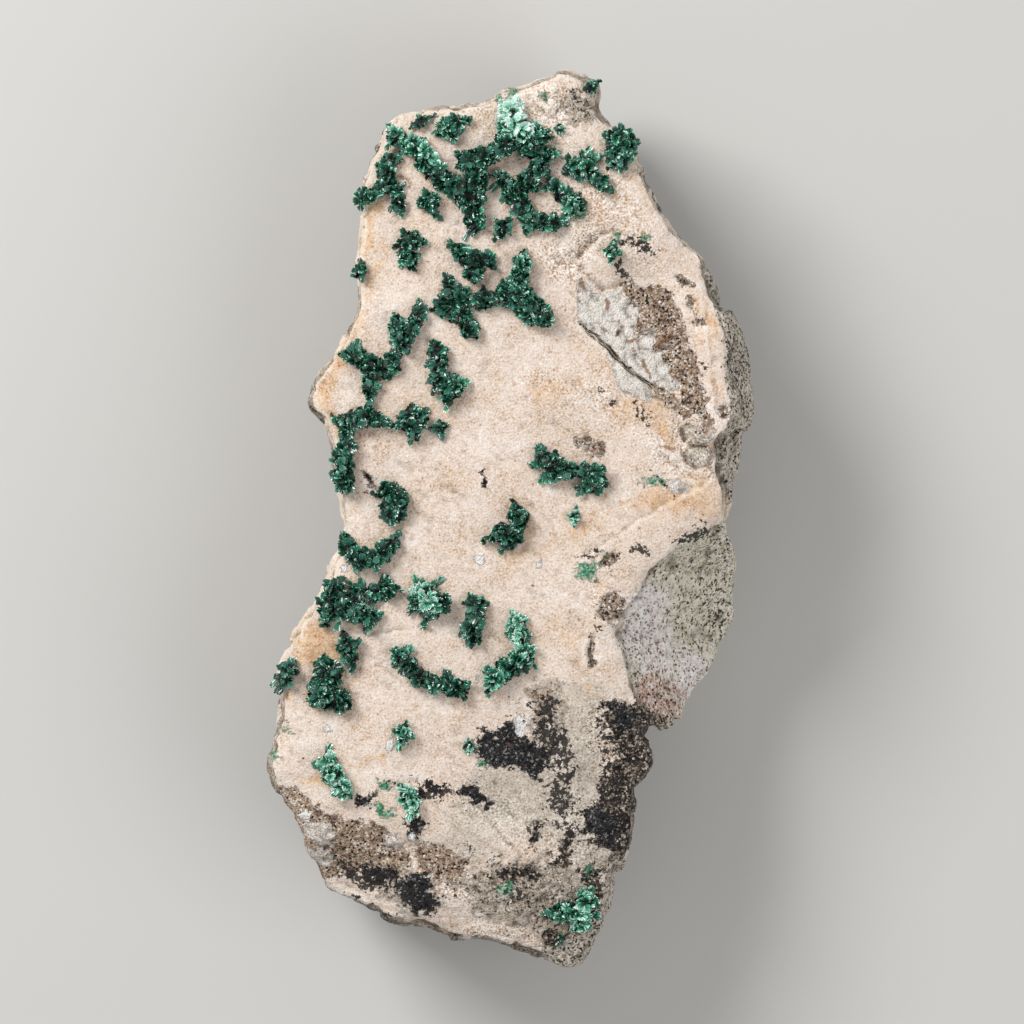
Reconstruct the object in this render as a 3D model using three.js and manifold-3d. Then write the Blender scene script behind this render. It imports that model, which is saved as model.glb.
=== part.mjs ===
import * as THREE from 'three';
import { mergeVertices } from 'three/addons/utils/BufferGeometryUtils.js';
import { ImprovedNoise } from 'three/addons/math/ImprovedNoise.js';
import Module from 'manifold-3d';

// Malachite rosettes on a slab of clay-coated rock, millimetres, +Z up.
// The slab lies on its broken flat back, with the crystal-bearing face up.
// The long way of the slab runs along Y. The origin is the middle of its footprint.

// Driving dimensions, mm
const LENGTH = 135;
const FACE_HEIGHT = 36;
const EDGE_DROP = 4.2;
const EDGE_DROP_PER_INSET = 0.8;
const BACK_INSET = 2.6;
const SIDE_INSET = 0.9;
const SIDE_SWING = 1.5;
const SIDE_GRAIN = 7;
const SIDE_LIFT = 0.2;
const SIDE_LIFT_GRAIN = 5;
const RIM_OVERSHOOT = 12;
const RIM_OVERSHOOT_INSET = 1.5;
const TERRAIN_STEP = 3.3;
const TERRAIN_MARGIN = 3;
const TERRAIN_BOTTOM = -1;
const FAR_SLOPE = 0.2;
const FAR_SLOPE_SOFTENING = 2.5;
const CONTACT_GAP = 0.3;

// Rough rings of the slab's sides: how far up the side, and which layer of the noise shapes them
const SIDE_RINGS = [{ share: 0.32, layer: 17 }, { share: 0.68, layer: 26 }];
const SIDE_LIFT_LAYER = 23;

// Crystal links: the radius in mm from which they are rounder, and shares of the link's radius
const BIG_LINK = 1.45;
const LINK_GROWTH = 1.42;
const BIG_LINK_GROWTH = 1.2;
const LINK_REACH = 0.85;
const LINK_TALLNESS = 1.15;
const LINK_LIFT = 0.5;
const TIP_SHORTEST = 0.84;
const TIP_LONGEST = 1.16;

// Plan drawing: the slab's outline seen from straight above, in pixels of a 1024 pixel frame,
// clockwise from the tip. Each row is x, y and how far in the rim of the face lies.
const OUTLINE_PX = [
  [562, 68, 8], [584, 77, 8], [600, 81, 8], [600, 98, 6], [599, 108, 6], [610, 120, 6],
  [625, 127, 6], [637, 158, 6], [645, 170, 6], [654, 191, 6], [660, 206, 6], [682, 237, 6],
  [702, 256, 6], [708, 270, 6], [721, 299, 13], [732, 308, 14], [741, 322, 19], [749, 335, 25],
  [749, 351, 24], [755, 375, 29], [754, 397, 25], [754, 413, 23], [750, 428, 28], [741, 440, 36],
  [740, 456, 30], [737, 471, 22], [732, 490, 9], [730, 513, 7], [729, 535, 26], [736, 556, 64],
  [735, 572, 87], [734, 593, 92], [734, 613, 108], [729, 633, 114], [719, 649, 93], [712, 666, 83],
  [699, 687, 66], [686, 706, 44], [676, 725, 26], [668, 730, 20], [656, 719, 15], [646, 729, 10],
  [644, 739, 9], [653, 746, 8], [657, 755, 7], [653, 770, 6], [636, 787, 6], [640, 806, 6],
  [635, 824, 6], [634, 840, 6], [626, 857, 6], [622, 875, 14], [618, 895, 13], [611, 915, 11],
  [602, 931, 8], [593, 944, 6], [588, 959, 6], [579, 969, 6], [566, 970, 6], [540, 959, 6],
  [516, 951, 6], [497, 944, 6], [478, 941, 6], [459, 943, 6], [441, 938, 6], [420, 926, 6],
  [400, 923, 6], [382, 916, 6], [358, 901, 6], [342, 892, 6], [325, 884, 6], [316, 868, 6],
  [304, 852, 6], [303, 833, 6], [291, 817, 6], [282, 804, 6], [271, 788, 6], [267, 772, 6],
  [268, 755, 6], [275, 737, 6], [278, 712, 6], [278, 696, 6], [274, 679, 6], [279, 665, 6],
  [287, 648, 6], [294, 630, 6], [309, 609, 6], [322, 584, 6], [330, 566, 6], [340, 554, 6],
  [346, 533, 6], [345, 515, 6], [341, 497, 6], [336, 470, 6], [337, 448, 6], [325, 426, 6],
  [310, 404, 6], [311, 391, 6], [318, 372, 6], [338, 346, 6], [347, 324, 6], [355, 309, 6],
  [355, 283, 6], [355, 260, 6], [360, 243, 6], [362, 210, 6], [359, 184, 6], [366, 160, 6],
  [378, 143, 6], [384, 127, 6], [402, 115, 6], [424, 110, 6], [448, 105, 6], [471, 100, 6],
  [484, 100, 6], [504, 87, 6], [516, 88, 6], [532, 82, 6], [551, 75, 6],
];
const TOP_PX = 68;
const BOTTOM_PX = 970;
const CENTRE_PX = [511, 519];
const SPINE_PX = { x: 500, top: 210, bottom: 850 };
const MM_PER_PX = LENGTH / (BOTTOM_PX - TOP_PX);

// The crest past which the face falls away to the lower right
const CREST_PX = [[380, 812], [480, 752], [560, 694], [612, 620], [652, 560], [704, 506], [780, 470]];

// Broad swells and hollows of the face: centre in pixels, radius and height in mm
const SWELLS = [
  [470, 330, 15, 0.9], [560, 400, 12, 0.6], [430, 480, 13, -0.8], [352, 158, 8, -1.0],
  [326, 388, 6, -1.4], [300, 720, 9, -0.9], [420, 655, 11, 0.7], [520, 600, 8, -0.6],
  [560, 92, 3.2, 0.9], [586, 122, 3, 0.9], [604, 100, 4, -1.2], [640, 200, 7, 0.6],
  [690, 275, 6, -1.2], [545, 868, 6, 0.8], [470, 865, 7, 0.9], [430, 905, 6, -1.2],
  [600, 780, 5, -0.9], [606, 822, 3.4, 1.2], [570, 848, 3, 0.9], [585, 745, 4, 0.8],
  [592, 446, 3.4, -0.9], [700, 450, 6, -0.8], [640, 520, 8, 0.7], [515, 750, 5, -0.5],
  [640, 745, 4, -1.0], [320, 835, 5, 0.9], [365, 845, 4, 0.7], [350, 880, 5, -1.4],
];

// Areas where a layer of the face has broken away: corners in pixels, depth in mm
const BROKEN_AREAS = [
  {
    corners: [[588, 292], [640, 277], [700, 330], [714, 424], [692, 432], [655, 400], [622, 345]],
    depth: 1.3,
  },
  {
    corners: [[262, 783], [300, 786], [335, 802], [388, 824], [408, 852], [392, 884], [420, 940],
      [300, 930]],
    depth: 1.7,
  },
  {
    corners: [[408, 906], [470, 918], [545, 930], [600, 925], [610, 990], [400, 970]],
    depth: 1.5,
  },
];
const BREAK_WIDTH = 1.6;

// Fractures that undercut the sides towards the back: a point of the edge in pixels, the heading
// of the way out in degrees, the lean past upright in degrees, then how far in the fracture
// meets the resting plane and how wide it runs, both in mm
const FRACTURES = [
  [565, 70, 78, 30, 8, 50], [470, 100, 100, 24, 6, 34], [380, 140, 136, 36, 8, 40],
  [357, 240, 176, 22, 5, 30], [312, 398, 182, 42, 9, 24], [342, 500, 188, 24, 5, 18],
  [300, 622, 150, 33, 8, 34], [268, 750, 187, 30, 8, 36], [312, 868, 218, 38, 9, 40],
  [420, 928, 252, 30, 9, 40], [520, 952, 262, 26, 7, 30], [590, 958, 316, 38, 8, 34],
  [636, 822, 352, 24, 6, 34], [664, 742, 318, 34, 7, 22], [700, 690, 336, 30, 6, 26],
  [735, 590, 2, 24, 6, 32], [752, 400, 4, 36, 10, 38], [722, 296, 32, 26, 7, 30],
  [668, 216, 34, 33, 8, 34], [628, 134, 24, 26, 7, 24],
];
const FRACTURE_DEPTH = 30;
const FRACTURE_HEIGHT = 80;

// Vertices closer than this are one, mm
const MERGE_DISTANCE = 1e-4;

// Grain of the face: size of the bumps and their height, mm
const FACE_GRAIN = [[9, 0.55], [4.3, 0.28]];

// Crystal groups: each a set of chains, and each chain a row of points x, y and radius in pixels
const CRYSTAL_GROUPS = {
  malachite_tip_bead: [[[587, 90, 6], [594, 85, 5]]],
  malachite_top_edge_sprig: [[[415, 125, 5], [427, 118, 6]]],
  malachite_upper_sprig: [
    [[441, 131, 7], [454, 127, 9], [461, 123, 6]],
    [[454, 127, 7], [454, 139, 6]],
  ],
  malachite_left_ridge: [
    [[392, 131, 7], [403, 141, 9], [424, 151, 11], [431, 168, 9], [446, 176, 9], [450, 192, 6]],
  ],
  malachite_left_fork: [
    [[394, 157, 7], [385, 163, 8], [388, 183, 8], [374, 192, 8], [363, 199, 7]],
    [[388, 183, 7], [396, 197, 6], [401, 210, 7]],
  ],
  malachite_small_fan: [[[427, 196, 9], [432, 209, 8]]],
  malachite_crown: [
    [[508, 105, 7], [510, 118, 13], [514, 132, 14], [529, 136, 9], [545, 137, 7]],
    [[514, 132, 12], [500, 150, 10], [488, 155, 9], [475, 160, 13], [466, 161, 8]],
    [[475, 160, 12], [478, 175, 9], [474, 190, 12], [470, 204, 10]],
    [[520, 147, 9], [543, 150, 8], [544, 163, 7], [534, 175, 11], [522, 188, 9], [511, 197, 12]],
    [[511, 197, 10], [526, 205, 8]],
    [[499, 176, 6], [508, 186, 8]],
    [[470, 204, 9], [479, 220, 8], [474, 230, 5]],
  ],
  malachite_crown_tail: [
    [[551, 181, 6], [559, 191, 7], [566, 200, 7], [576, 200, 9], [570, 211, 7]],
  ],
  malachite_spindle: [[[508, 222, 7], [499, 233, 7]]],
  malachite_lower_pair: [[[529, 227, 6], [534, 218, 8], [548, 223, 7], [560, 224, 6]]],
  malachite_small_bead: [[[559, 128, 5]]],
  malachite_right_knob: [
    [[613, 137, 9], [625, 138, 9], [629, 152, 9], [618, 161, 9], [611, 149, 8]],
  ],
  malachite_right_sprig: [
    [[568, 171, 7], [578, 165, 9], [592, 161, 7]],
    [[578, 165, 8], [592, 175, 8], [608, 188, 7]],
  ],
  malachite_rim_bead: [[[613, 246, 6], [611, 257, 7]]],
  malachite_twin_tuft: [[[419, 242, 7], [408, 241, 8], [406, 252, 8], [412, 266, 7]]],
  malachite_trefoil: [
    [[456, 249, 9], [466, 257, 9], [475, 268, 9], [475, 277, 8]],
    [[472, 262, 7], [484, 257, 7], [491, 263, 6]],
  ],
  malachite_edge_bead: [[[361, 266, 5], [361, 277, 6]]],
  malachite_long_chain: [
    [[448, 285, 7], [454, 294, 8], [467, 302, 9], [500, 297, 9], [516, 291, 11], [524, 304, 13],
      [534, 313, 12], [545, 316, 8]],
    [[516, 288, 10], [520, 270, 9], [523, 256, 8]],
    [[437, 309, 7], [450, 305, 7], [460, 300, 7]],
    [[458, 310, 7], [464, 325, 9], [474, 335, 7]],
  ],
  malachite_upper_hook: [
    [[397, 321, 8], [401, 334, 9], [405, 345, 8]],
    [[406, 334, 7], [417, 322, 8], [418, 311, 6]],
  ],
  malachite_west_cross: [
    [[348, 356, 7], [362, 357, 9], [377, 370, 9], [388, 367, 8], [396, 358, 7]],
    [[374, 372, 8], [371, 384, 7], [370, 396, 6]],
  ],
  malachite_ladder: [[[434, 347, 8], [438, 358, 7], [440, 371, 9], [437, 382, 7]]],
  malachite_low_ladder: [[[459, 385, 8], [450, 389, 8], [447, 398, 8]]],
  malachite_edge_chain: [
    [[340, 421, 7], [350, 424, 8], [360, 417, 9], [373, 418, 9], [381, 422, 7]],
    [[347, 426, 7], [346, 441, 7], [345, 456, 8], [344, 470, 10], [344, 486, 10]],
  ],
  malachite_flower: [
    [[404, 415, 6], [415, 413, 7], [422, 420, 6], [413, 425, 8], [402, 426, 6]],
    [[413, 427, 7], [415, 436, 6]],
  ],
  malachite_flower_bud: [[[436, 427, 7], [443, 426, 6]]],
  malachite_west_rosette: [
    [[383, 493, 8], [393, 490, 9], [399, 500, 10], [388, 506, 11], [396, 515, 9]],
  ],
  malachite_double_knot: [
    [[542, 452, 6], [545, 462, 9], [556, 460, 9], [558, 471, 9], [549, 475, 8]],
    [[560, 470, 8], [578, 472, 8], [593, 473, 10], [597, 481, 10], [586, 486, 8]],
  ],
  malachite_centre_knot: [
    [[516, 511, 6], [518, 527, 12], [506, 545, 7]],
    [[512, 532, 9], [495, 536, 9]],
  ],
  malachite_west_crescent: [
    [[346, 541, 8], [352, 555, 9], [368, 562, 9], [380, 556, 8], [388, 550, 8], [394, 541, 7]],
  ],
  malachite_west_block: [
    [[339, 584, 7], [329, 596, 9], [331, 606, 9], [325, 620, 9]],
    [[333, 608, 9], [348, 612, 9], [362, 617, 10], [373, 616, 7]],
    [[352, 607, 8], [357, 591, 8], [367, 595, 7], [380, 588, 8], [391, 588, 8]],
  ],
  malachite_short_link: [[[345, 640, 8], [348, 653, 8], [353, 666, 6]]],
  malachite_ball: [[[427, 591, 9], [417, 601, 9], [427, 603, 14], [438, 603, 9], [430, 614, 8]]],
  malachite_column: [
    [[468, 603, 7], [480, 604, 8], [477, 614, 7], [472, 623, 9], [473, 634, 9], [472, 641, 6]],
  ],
  malachite_far_left_tuft: [[[290, 665, 7], [286, 674, 9], [283, 683, 6]]],
  malachite_lower_block: [
    [[326, 664, 9], [334, 677, 11], [320, 684, 10], [318, 700, 10], [331, 696, 9], [345, 704, 11]],
  ],
  malachite_bent_chain: [
    [[397, 654, 8], [405, 661, 9], [413, 672, 8], [424, 683, 8], [442, 686, 8], [455, 684, 10],
      [461, 692, 7]],
  ],
  malachite_green_stair: [
    [[515, 617, 6], [520, 628, 8], [519, 642, 8], [526, 656, 8], [512, 665, 10], [500, 671, 9],
      [492, 685, 8]],
    [[510, 672, 8], [521, 668, 6]],
  ],
  malachite_middle_tuft: [[[405, 728, 8], [403, 737, 7]]],
  malachite_lower_wing: [[[329, 757, 7], [327, 768, 10], [336, 780, 9], [347, 793, 7]]],
  malachite_lower_sprig: [[[404, 790, 6], [411, 799, 8], [416, 808, 6]]],
  malachite_pale_dot: [[[469, 746, 5.5]]],
  malachite_corner_spray: [
    [[587, 898, 8], [582, 910, 10], [585, 922, 9], [577, 928, 7]],
    [[578, 912, 8], [566, 911, 8], [553, 915, 6]],
  ],
  malachite_corner_bead: [[[561, 939, 6]]],
  malachite_pale_speck: [[[576, 513, 5], [575, 521, 4.5]]],
};

// The seed of the first group's random shapes; each further group takes the next
const FIRST_SEED = 1000;

// Surface finishes as seen on the specimen
const ROCK_FINISH = { color: 0xdccab2, roughness: 0.92, metalness: 0 };
const MALACHITE_FINISH = { color: 0x12563d, roughness: 0.35, metalness: 0 };

const wasm = await Module();
wasm.setup();

const grainSource = new ImprovedNoise();

// Smooth noise from -1 to 1 at a plan point, with bumps of a size in mm, from one of its layers
function noiseAt(point, size, layer) {
  return grainSource.noise(point.x / size, point.y / size, layer);
}

// Repeatable random numbers from 0 to 1
function makeRandom(seed) {
  let state = seed;
  return () => {
    state = (state + 0x6d2b79f5) | 0;
    let mixed = Math.imul(state ^ (state >>> 15), 1 | state);
    mixed = (mixed + Math.imul(mixed ^ (mixed >>> 7), 61 | mixed)) ^ mixed;
    return ((mixed ^ (mixed >>> 14)) >>> 0) / 4294967296;
  };
}

// A plan point in mm from a point of the drawing
function planPoint(px, py) {
  return new THREE.Vector2((px - CENTRE_PX[0]) * MM_PER_PX, (CENTRE_PX[1] - py) * MM_PER_PX);
}

const CREST = CREST_PX.map(([px, py]) => planPoint(px, py));
const HILLS = SWELLS.map(([px, py, radius, height]) => ({ at: planPoint(px, py), radius, height }));
const BREAKS = BROKEN_AREAS.map(({ corners, depth }) => ({
  corners: corners.map(([px, py]) => planPoint(px, py)),
  depth,
}));

// Signed distance from a point to a chain of segments, positive on the right of its direction
function distanceToChain(point, chain, closed) {
  const nearest = new THREE.Vector2();
  const along = new THREE.Vector2();
  const toPoint = new THREE.Vector2();
  let best = Infinity;
  let side = 1;
  const count = closed ? chain.length : chain.length - 1;
  for (let i = 0; i < count; i += 1) {
    const start = chain[i];
    const end = chain[(i + 1) % chain.length];
    along.subVectors(end, start);
    toPoint.subVectors(point, start);
    const share = THREE.MathUtils.clamp(toPoint.dot(along) / along.lengthSq(), 0, 1);
    nearest.copy(start).addScaledVector(along, share);
    const distance = nearest.distanceTo(point);
    if (distance < best) {
      best = distance;
      side = along.cross(toPoint) > 0 ? -1 : 1;
    }
  }
  return side * best;
}

// True where a point is inside a closed polygon
function insidePolygon(point, corners) {
  let inside = false;
  corners.forEach((corner, index) => {
    const next = corners[(index + 1) % corners.length];
    const spans = (corner.y > point.y) !== (next.y > point.y);
    const share = (point.y - corner.y) / (next.y - corner.y);
    if (spans && point.x < corner.x + share * (next.x - corner.x)) {
      inside = !inside;
    }
  });
  return inside;
}

// Height of the crystal-bearing face above the resting plane
function faceHeight(x, y) {
  const point = new THREE.Vector2(x, y);
  let height = FACE_HEIGHT;
  const beyond = distanceToChain(point, CREST, false);
  height -= FAR_SLOPE * FAR_SLOPE_SOFTENING * Math.log1p(Math.exp(beyond / FAR_SLOPE_SOFTENING));
  for (const hill of HILLS) {
    height += hill.height * Math.exp(-point.distanceToSquared(hill.at) / hill.radius ** 2);
  }
  for (const area of BREAKS) {
    const reach = Math.abs(distanceToChain(point, area.corners, true));
    const depthIn = insidePolygon(point, area.corners) ? reach : -reach;
    height -= area.depth * THREE.MathUtils.smoothstep(depthIn, -BREAK_WIDTH / 2, BREAK_WIDTH / 2);
  }
  for (const [size, swing] of FACE_GRAIN) {
    height += swing * noiseAt(point, size, size);
  }
  return height;
}

// The outline as plan points, with the rim inset in mm and the way in towards the spine
function outlinePoints() {
  const spineTop = planPoint(SPINE_PX.x, SPINE_PX.top);
  const spineBottom = planPoint(SPINE_PX.x, SPINE_PX.bottom);
  return OUTLINE_PX.map(([px, py, insetPx]) => {
    const edge = planPoint(px, py);
    const spineY = THREE.MathUtils.clamp(edge.y, spineBottom.y, spineTop.y);
    const inward = new THREE.Vector2(spineTop.x, spineY).sub(edge).normalize();
    return { edge, inward, inset: insetPx * MM_PER_PX };
  }).reverse();
}

// The rings that the sides of the slab pass through, from the back to above the face
function slabRings() {
  const rings = [[], [], [], [], [], []];
  for (const { edge, inward, inset } of outlinePoints()) {
    const faceTop = faceHeight(edge.x, edge.y);
    const edgeHeight = faceTop - EDGE_DROP - EDGE_DROP_PER_INSET * inset;
    const sides = SIDE_RINGS.map(({ share, layer }) => {
      const rough = noiseAt(edge, SIDE_GRAIN, layer);
      const lift = noiseAt(edge, SIDE_LIFT_GRAIN, layer + SIDE_LIFT_LAYER);
      return [SIDE_INSET + SIDE_SWING * rough, edgeHeight * (share + SIDE_LIFT * lift)];
    });
    const levels = [
      [BACK_INSET, 0],
      ...sides,
      [0, edgeHeight],
      [inset, faceTop],
      [inset + RIM_OVERSHOOT_INSET, faceTop + RIM_OVERSHOOT],
    ];
    levels.forEach(([depth, z], index) => {
      const spot = edge.clone().addScaledVector(inward, Math.max(depth, 0));
      rings[index].push(new THREE.Vector3(spot.x, spot.y, z));
    });
  }
  return rings;
}

// A closed geometry skinned over rings of equal length, with flat-filled ends
function skinRings(rings) {
  const size = rings[0].length;
  const positions = rings.flat().flatMap((point) => [point.x, point.y, point.z]);
  const triangles = [];
  for (let level = 0; level + 1 < rings.length; level += 1) {
    for (let i = 0; i < size; i += 1) {
      const low = level * size + i;
      const lowNext = level * size + ((i + 1) % size);
      triangles.push(low, lowNext, lowNext + size);
      triangles.push(low, lowNext + size, low + size);
    }
  }
  const last = (rings.length - 1) * size;
  const flat = (ring) => ring.map((point) => new THREE.Vector2(point.x, point.y));
  for (const [a, b, c] of THREE.ShapeUtils.triangulateShape(flat(rings[0]), [])) {
    triangles.push(a, c, b);
  }
  for (const [a, b, c] of THREE.ShapeUtils.triangulateShape(flat(rings[rings.length - 1]), [])) {
    triangles.push(last + a, last + b, last + c);
  }
  const geometry = new THREE.BufferGeometry();
  geometry.setAttribute('position', new THREE.Float32BufferAttribute(positions, 3));
  geometry.setIndex(triangles);
  return geometry;
}

// A block whose top is the face, reaching past the outline all round
function terrainBlock() {
  const box = new THREE.Box2().setFromPoints(OUTLINE_PX.map(([px, py]) => planPoint(px, py)));
  box.expandByScalar(TERRAIN_MARGIN);
  const size = box.getSize(new THREE.Vector2());
  const middle = box.getCenter(new THREE.Vector2());
  const across = Math.round(size.x / TERRAIN_STEP);
  const along = Math.round(size.y / TERRAIN_STEP);
  const block = new THREE.BoxGeometry(size.x, size.y, FACE_HEIGHT, across, along, 1);
  block.translate(middle.x, middle.y, 0);
  const points = block.attributes.position;
  for (let i = 0; i < points.count; i += 1) {
    const onTop = points.getZ(i) > 0;
    points.setZ(i, onTop ? faceHeight(points.getX(i), points.getY(i)) : TERRAIN_BOTTOM);
  }
  return block;
}

// The same geometry with only positions, and one vertex wherever its faces meet
function mergedShape(geometry) {
  const bare = geometry.clone();
  bare.deleteAttribute('normal');
  bare.deleteAttribute('uv');
  return mergeVertices(bare, MERGE_DISTANCE);
}

// A solid from a closed geometry
function toSolid(geometry) {
  const merged = mergedShape(geometry);
  return new wasm.Manifold(new wasm.Mesh({
    numProp: 3,
    vertProperties: new Float32Array(merged.attributes.position.array),
    triVerts: new Uint32Array(merged.index.array),
  }));
}

// A geometry with flat shading from a solid
function toGeometry(solid) {
  const mesh = solid.getMesh();
  const geometry = new THREE.BufferGeometry();
  geometry.setAttribute('position', new THREE.BufferAttribute(mesh.vertProperties, 3));
  geometry.setIndex(new THREE.BufferAttribute(mesh.triVerts, 1));
  return geometry;
}

// The block that one fracture takes away, with its inner face leaning out of the slab
function fractureBlock([px, py, headingDegrees, leanDegrees, inset, width]) {
  const heading = THREE.MathUtils.degToRad(headingDegrees);
  const out = new THREE.Vector2(Math.cos(heading), Math.sin(heading));
  const foot = planPoint(px, py).addScaledVector(out, -inset);
  const block = new THREE.BoxGeometry(FRACTURE_DEPTH, width, FRACTURE_HEIGHT);
  block.translate(FRACTURE_DEPTH / 2, 0, 0);
  block.rotateY(THREE.MathUtils.degToRad(leanDegrees));
  block.rotateZ(heading);
  block.translate(foot.x, foot.y, 0);
  return block;
}

// The slab: its sides closed by the face on top and broken away below
function slabSolid() {
  const whole = toSolid(skinRings(slabRings())).intersect(toSolid(terrainBlock()));
  return FRACTURES.reduce((solid, row) => solid.subtract(toSolid(fractureBlock(row))), whole);
}

// The links of a group: from each point of a chain to the next, in mm
function linksOf(chains) {
  const links = [];
  for (const chain of chains) {
    const stops = chain.map(([px, py, radius]) => ({
      at: planPoint(px, py),
      radius: radius * MM_PER_PX,
    }));
    stops.slice(0, Math.max(1, stops.length - 1)).forEach((stop, index) => {
      links.push({ start: stop, end: stops[index + 1] ?? stop });
    });
  }
  return links;
}

// One link: a pointed knot of crystals with flat faces, a little taller than wide
function linkSolid({ start, end }, random) {
  const radius = (start.radius + end.radius) / 2;
  const rounder = radius > BIG_LINK;
  const burr = rounder ? new THREE.IcosahedronGeometry(1, 0) : new THREE.OctahedronGeometry(1, 0);
  const knot = mergedShape(burr);
  const points = knot.attributes.position;
  const growth = radius * (rounder ? BIG_LINK_GROWTH : LINK_GROWTH);
  const halfLength = start.at.distanceTo(end.at) / 2 + growth * LINK_REACH;
  const centre = start.at.clone().lerp(end.at, 0.5);
  const heading = Math.atan2(end.at.y - start.at.y, end.at.x - start.at.x);
  const reach = new THREE.Vector3(halfLength, growth, growth * LINK_TALLNESS);
  const height = faceHeight(centre.x, centre.y) + LINK_LIFT * radius;
  const roll = new THREE.Euler(random() * Math.PI, 0, 0);
  const turn = new THREE.Euler(0, 0, heading);
  const tip = new THREE.Vector3();
  for (let i = 0; i < points.count; i += 1) {
    tip.fromBufferAttribute(points, i).applyEuler(roll);
    tip.multiplyScalar(THREE.MathUtils.lerp(TIP_SHORTEST, TIP_LONGEST, random()));
    tip.multiply(reach).applyEuler(turn);
    points.setXYZ(i, centre.x + tip.x, centre.y + tip.y, height + tip.z);
  }
  return toSolid(knot);
}

// The largest of the bodies that a solid falls into
function largestBody(solid) {
  const bodies = solid.decompose();
  return bodies.reduce((best, body) => (body.volume() > best.volume() ? body : best));
}

// The way out of the slab at a group that hangs over its edge, or no way where it is further in
function wayOut(links) {
  const outline = outlinePoints().map(({ edge }) => edge);
  const distances = links.map(({ start }) => Math.abs(distanceToChain(start.at, outline, true)));
  const closest = links[distances.indexOf(Math.min(...distances))].start;
  if (Math.min(...distances) > closest.radius + EDGE_DROP) {
    return new THREE.Vector2();
  }
  return closest.at.clone().setY(0).normalize();
}

// One group of rosettes, cut to stand just clear of the slab
function crystalSolid(chains, slab, random) {
  const links = linksOf(chains);
  const joined = links.map((link) => linkSolid(link, random)).reduce((sum, link) => sum.add(link));
  const out = wayOut(links).multiplyScalar(CONTACT_GAP);
  return largestBody(joined.subtract(slab.translate([out.x, out.y, CONTACT_GAP])));
}

// A named mesh of the specimen, with its own finish
function pieceMesh(name, solid, finish) {
  const material = new THREE.MeshStandardMaterial({ ...finish, flatShading: true });
  const mesh = new THREE.Mesh(toGeometry(solid), material);
  mesh.name = name;
  return mesh;
}

const slab = slabSolid();
const specimen = new THREE.Group();
specimen.add(pieceMesh('matrix', slab, ROCK_FINISH));
Object.entries(CRYSTAL_GROUPS).forEach(([name, chains], index) => {
  const random = makeRandom(FIRST_SEED + index);
  specimen.add(pieceMesh(name, crystalSolid(chains, slab, random), MALACHITE_FINISH));
});

// The origin goes to the middle of the footprint, on the resting plane
const extent = new THREE.Box3().setFromObject(specimen);
const middle = extent.getCenter(new THREE.Vector3());
specimen.position.set(-middle.x, -middle.y, -extent.min.z);

export default specimen;
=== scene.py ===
"""Malachite crystals on a slab of clay-coated rock: the looks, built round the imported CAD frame.

Blender objects are in metres in the frame's own axes. The slab lies on its back and the camera
looks straight down on its face, so a plan place is written as x and y of the 1024 pixel picture
and turned to millimetres by one function. All mesh work is done in millimetres.

FACE_HEIGHT is the height of the face above the resting plane in mm, MASK_REACH the largest
distance that a mask on the mesh holds in mm, and STEEP the upward part of a normal below which a
surface counts as a side. The layer numbers given to the noise functions have no meaning but to
keep one pattern from repeating another.
"""

from __future__ import annotations

import functools
import itertools
import logging
from collections.abc import Callable
from dataclasses import dataclass
from enum import Enum

import bmesh
import bpy
import numpy as np
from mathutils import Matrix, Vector
from mathutils.kdtree import KDTree


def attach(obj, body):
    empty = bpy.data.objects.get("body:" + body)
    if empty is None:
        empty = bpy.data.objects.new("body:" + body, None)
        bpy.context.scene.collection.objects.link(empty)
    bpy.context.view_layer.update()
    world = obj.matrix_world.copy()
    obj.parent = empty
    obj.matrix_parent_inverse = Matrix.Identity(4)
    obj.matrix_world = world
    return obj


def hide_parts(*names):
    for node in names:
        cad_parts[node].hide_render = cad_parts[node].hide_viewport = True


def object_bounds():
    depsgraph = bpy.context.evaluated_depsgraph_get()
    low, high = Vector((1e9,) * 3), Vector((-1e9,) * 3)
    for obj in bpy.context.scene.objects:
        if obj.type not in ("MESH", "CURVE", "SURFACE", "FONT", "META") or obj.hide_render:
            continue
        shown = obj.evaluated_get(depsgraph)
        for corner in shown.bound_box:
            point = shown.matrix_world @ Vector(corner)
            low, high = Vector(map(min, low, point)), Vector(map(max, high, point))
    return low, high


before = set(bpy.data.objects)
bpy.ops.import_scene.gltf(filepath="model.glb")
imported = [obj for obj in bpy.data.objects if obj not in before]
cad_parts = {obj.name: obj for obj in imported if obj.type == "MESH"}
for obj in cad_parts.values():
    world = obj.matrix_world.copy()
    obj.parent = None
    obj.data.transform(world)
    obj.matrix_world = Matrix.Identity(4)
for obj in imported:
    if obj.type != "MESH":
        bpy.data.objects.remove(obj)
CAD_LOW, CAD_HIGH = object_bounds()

LOG = logging.getLogger("malachite_specimen")
MM = 0.001
PICTURE_MIDDLE = (511.0, 519.0)
MM_PER_PIXEL = 135.0 / 902.0
FACE_HEIGHT = 36.0
MASK_REACH = 4.0
STEEP = 0.35

Line = tuple[tuple[float, float], ...]


def plan(corners: Line) -> np.ndarray:
    """Plan points in mm from places in the picture."""
    spots = np.array(corners, float)
    return (spots - PICTURE_MIDDLE) * (MM_PER_PIXEL, -MM_PER_PIXEL)


def linear_colour(code: str) -> tuple[float, float, float, float]:
    """Turns an sRGB hex colour to the linear values that Blender's sockets take.

    Args:
        code: The colour as six hex digits after a hash.

    Returns:
        Red, green, blue and full alpha, linear.
    """
    parts = [int(code[i : i + 2], 16) / 255 for i in (1, 3, 5)]
    linear = [c / 12.92 if c <= 0.04045 else ((c + 0.055) / 1.055) ** 2.4 for c in parts]
    return (*linear, 1.0)


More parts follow.
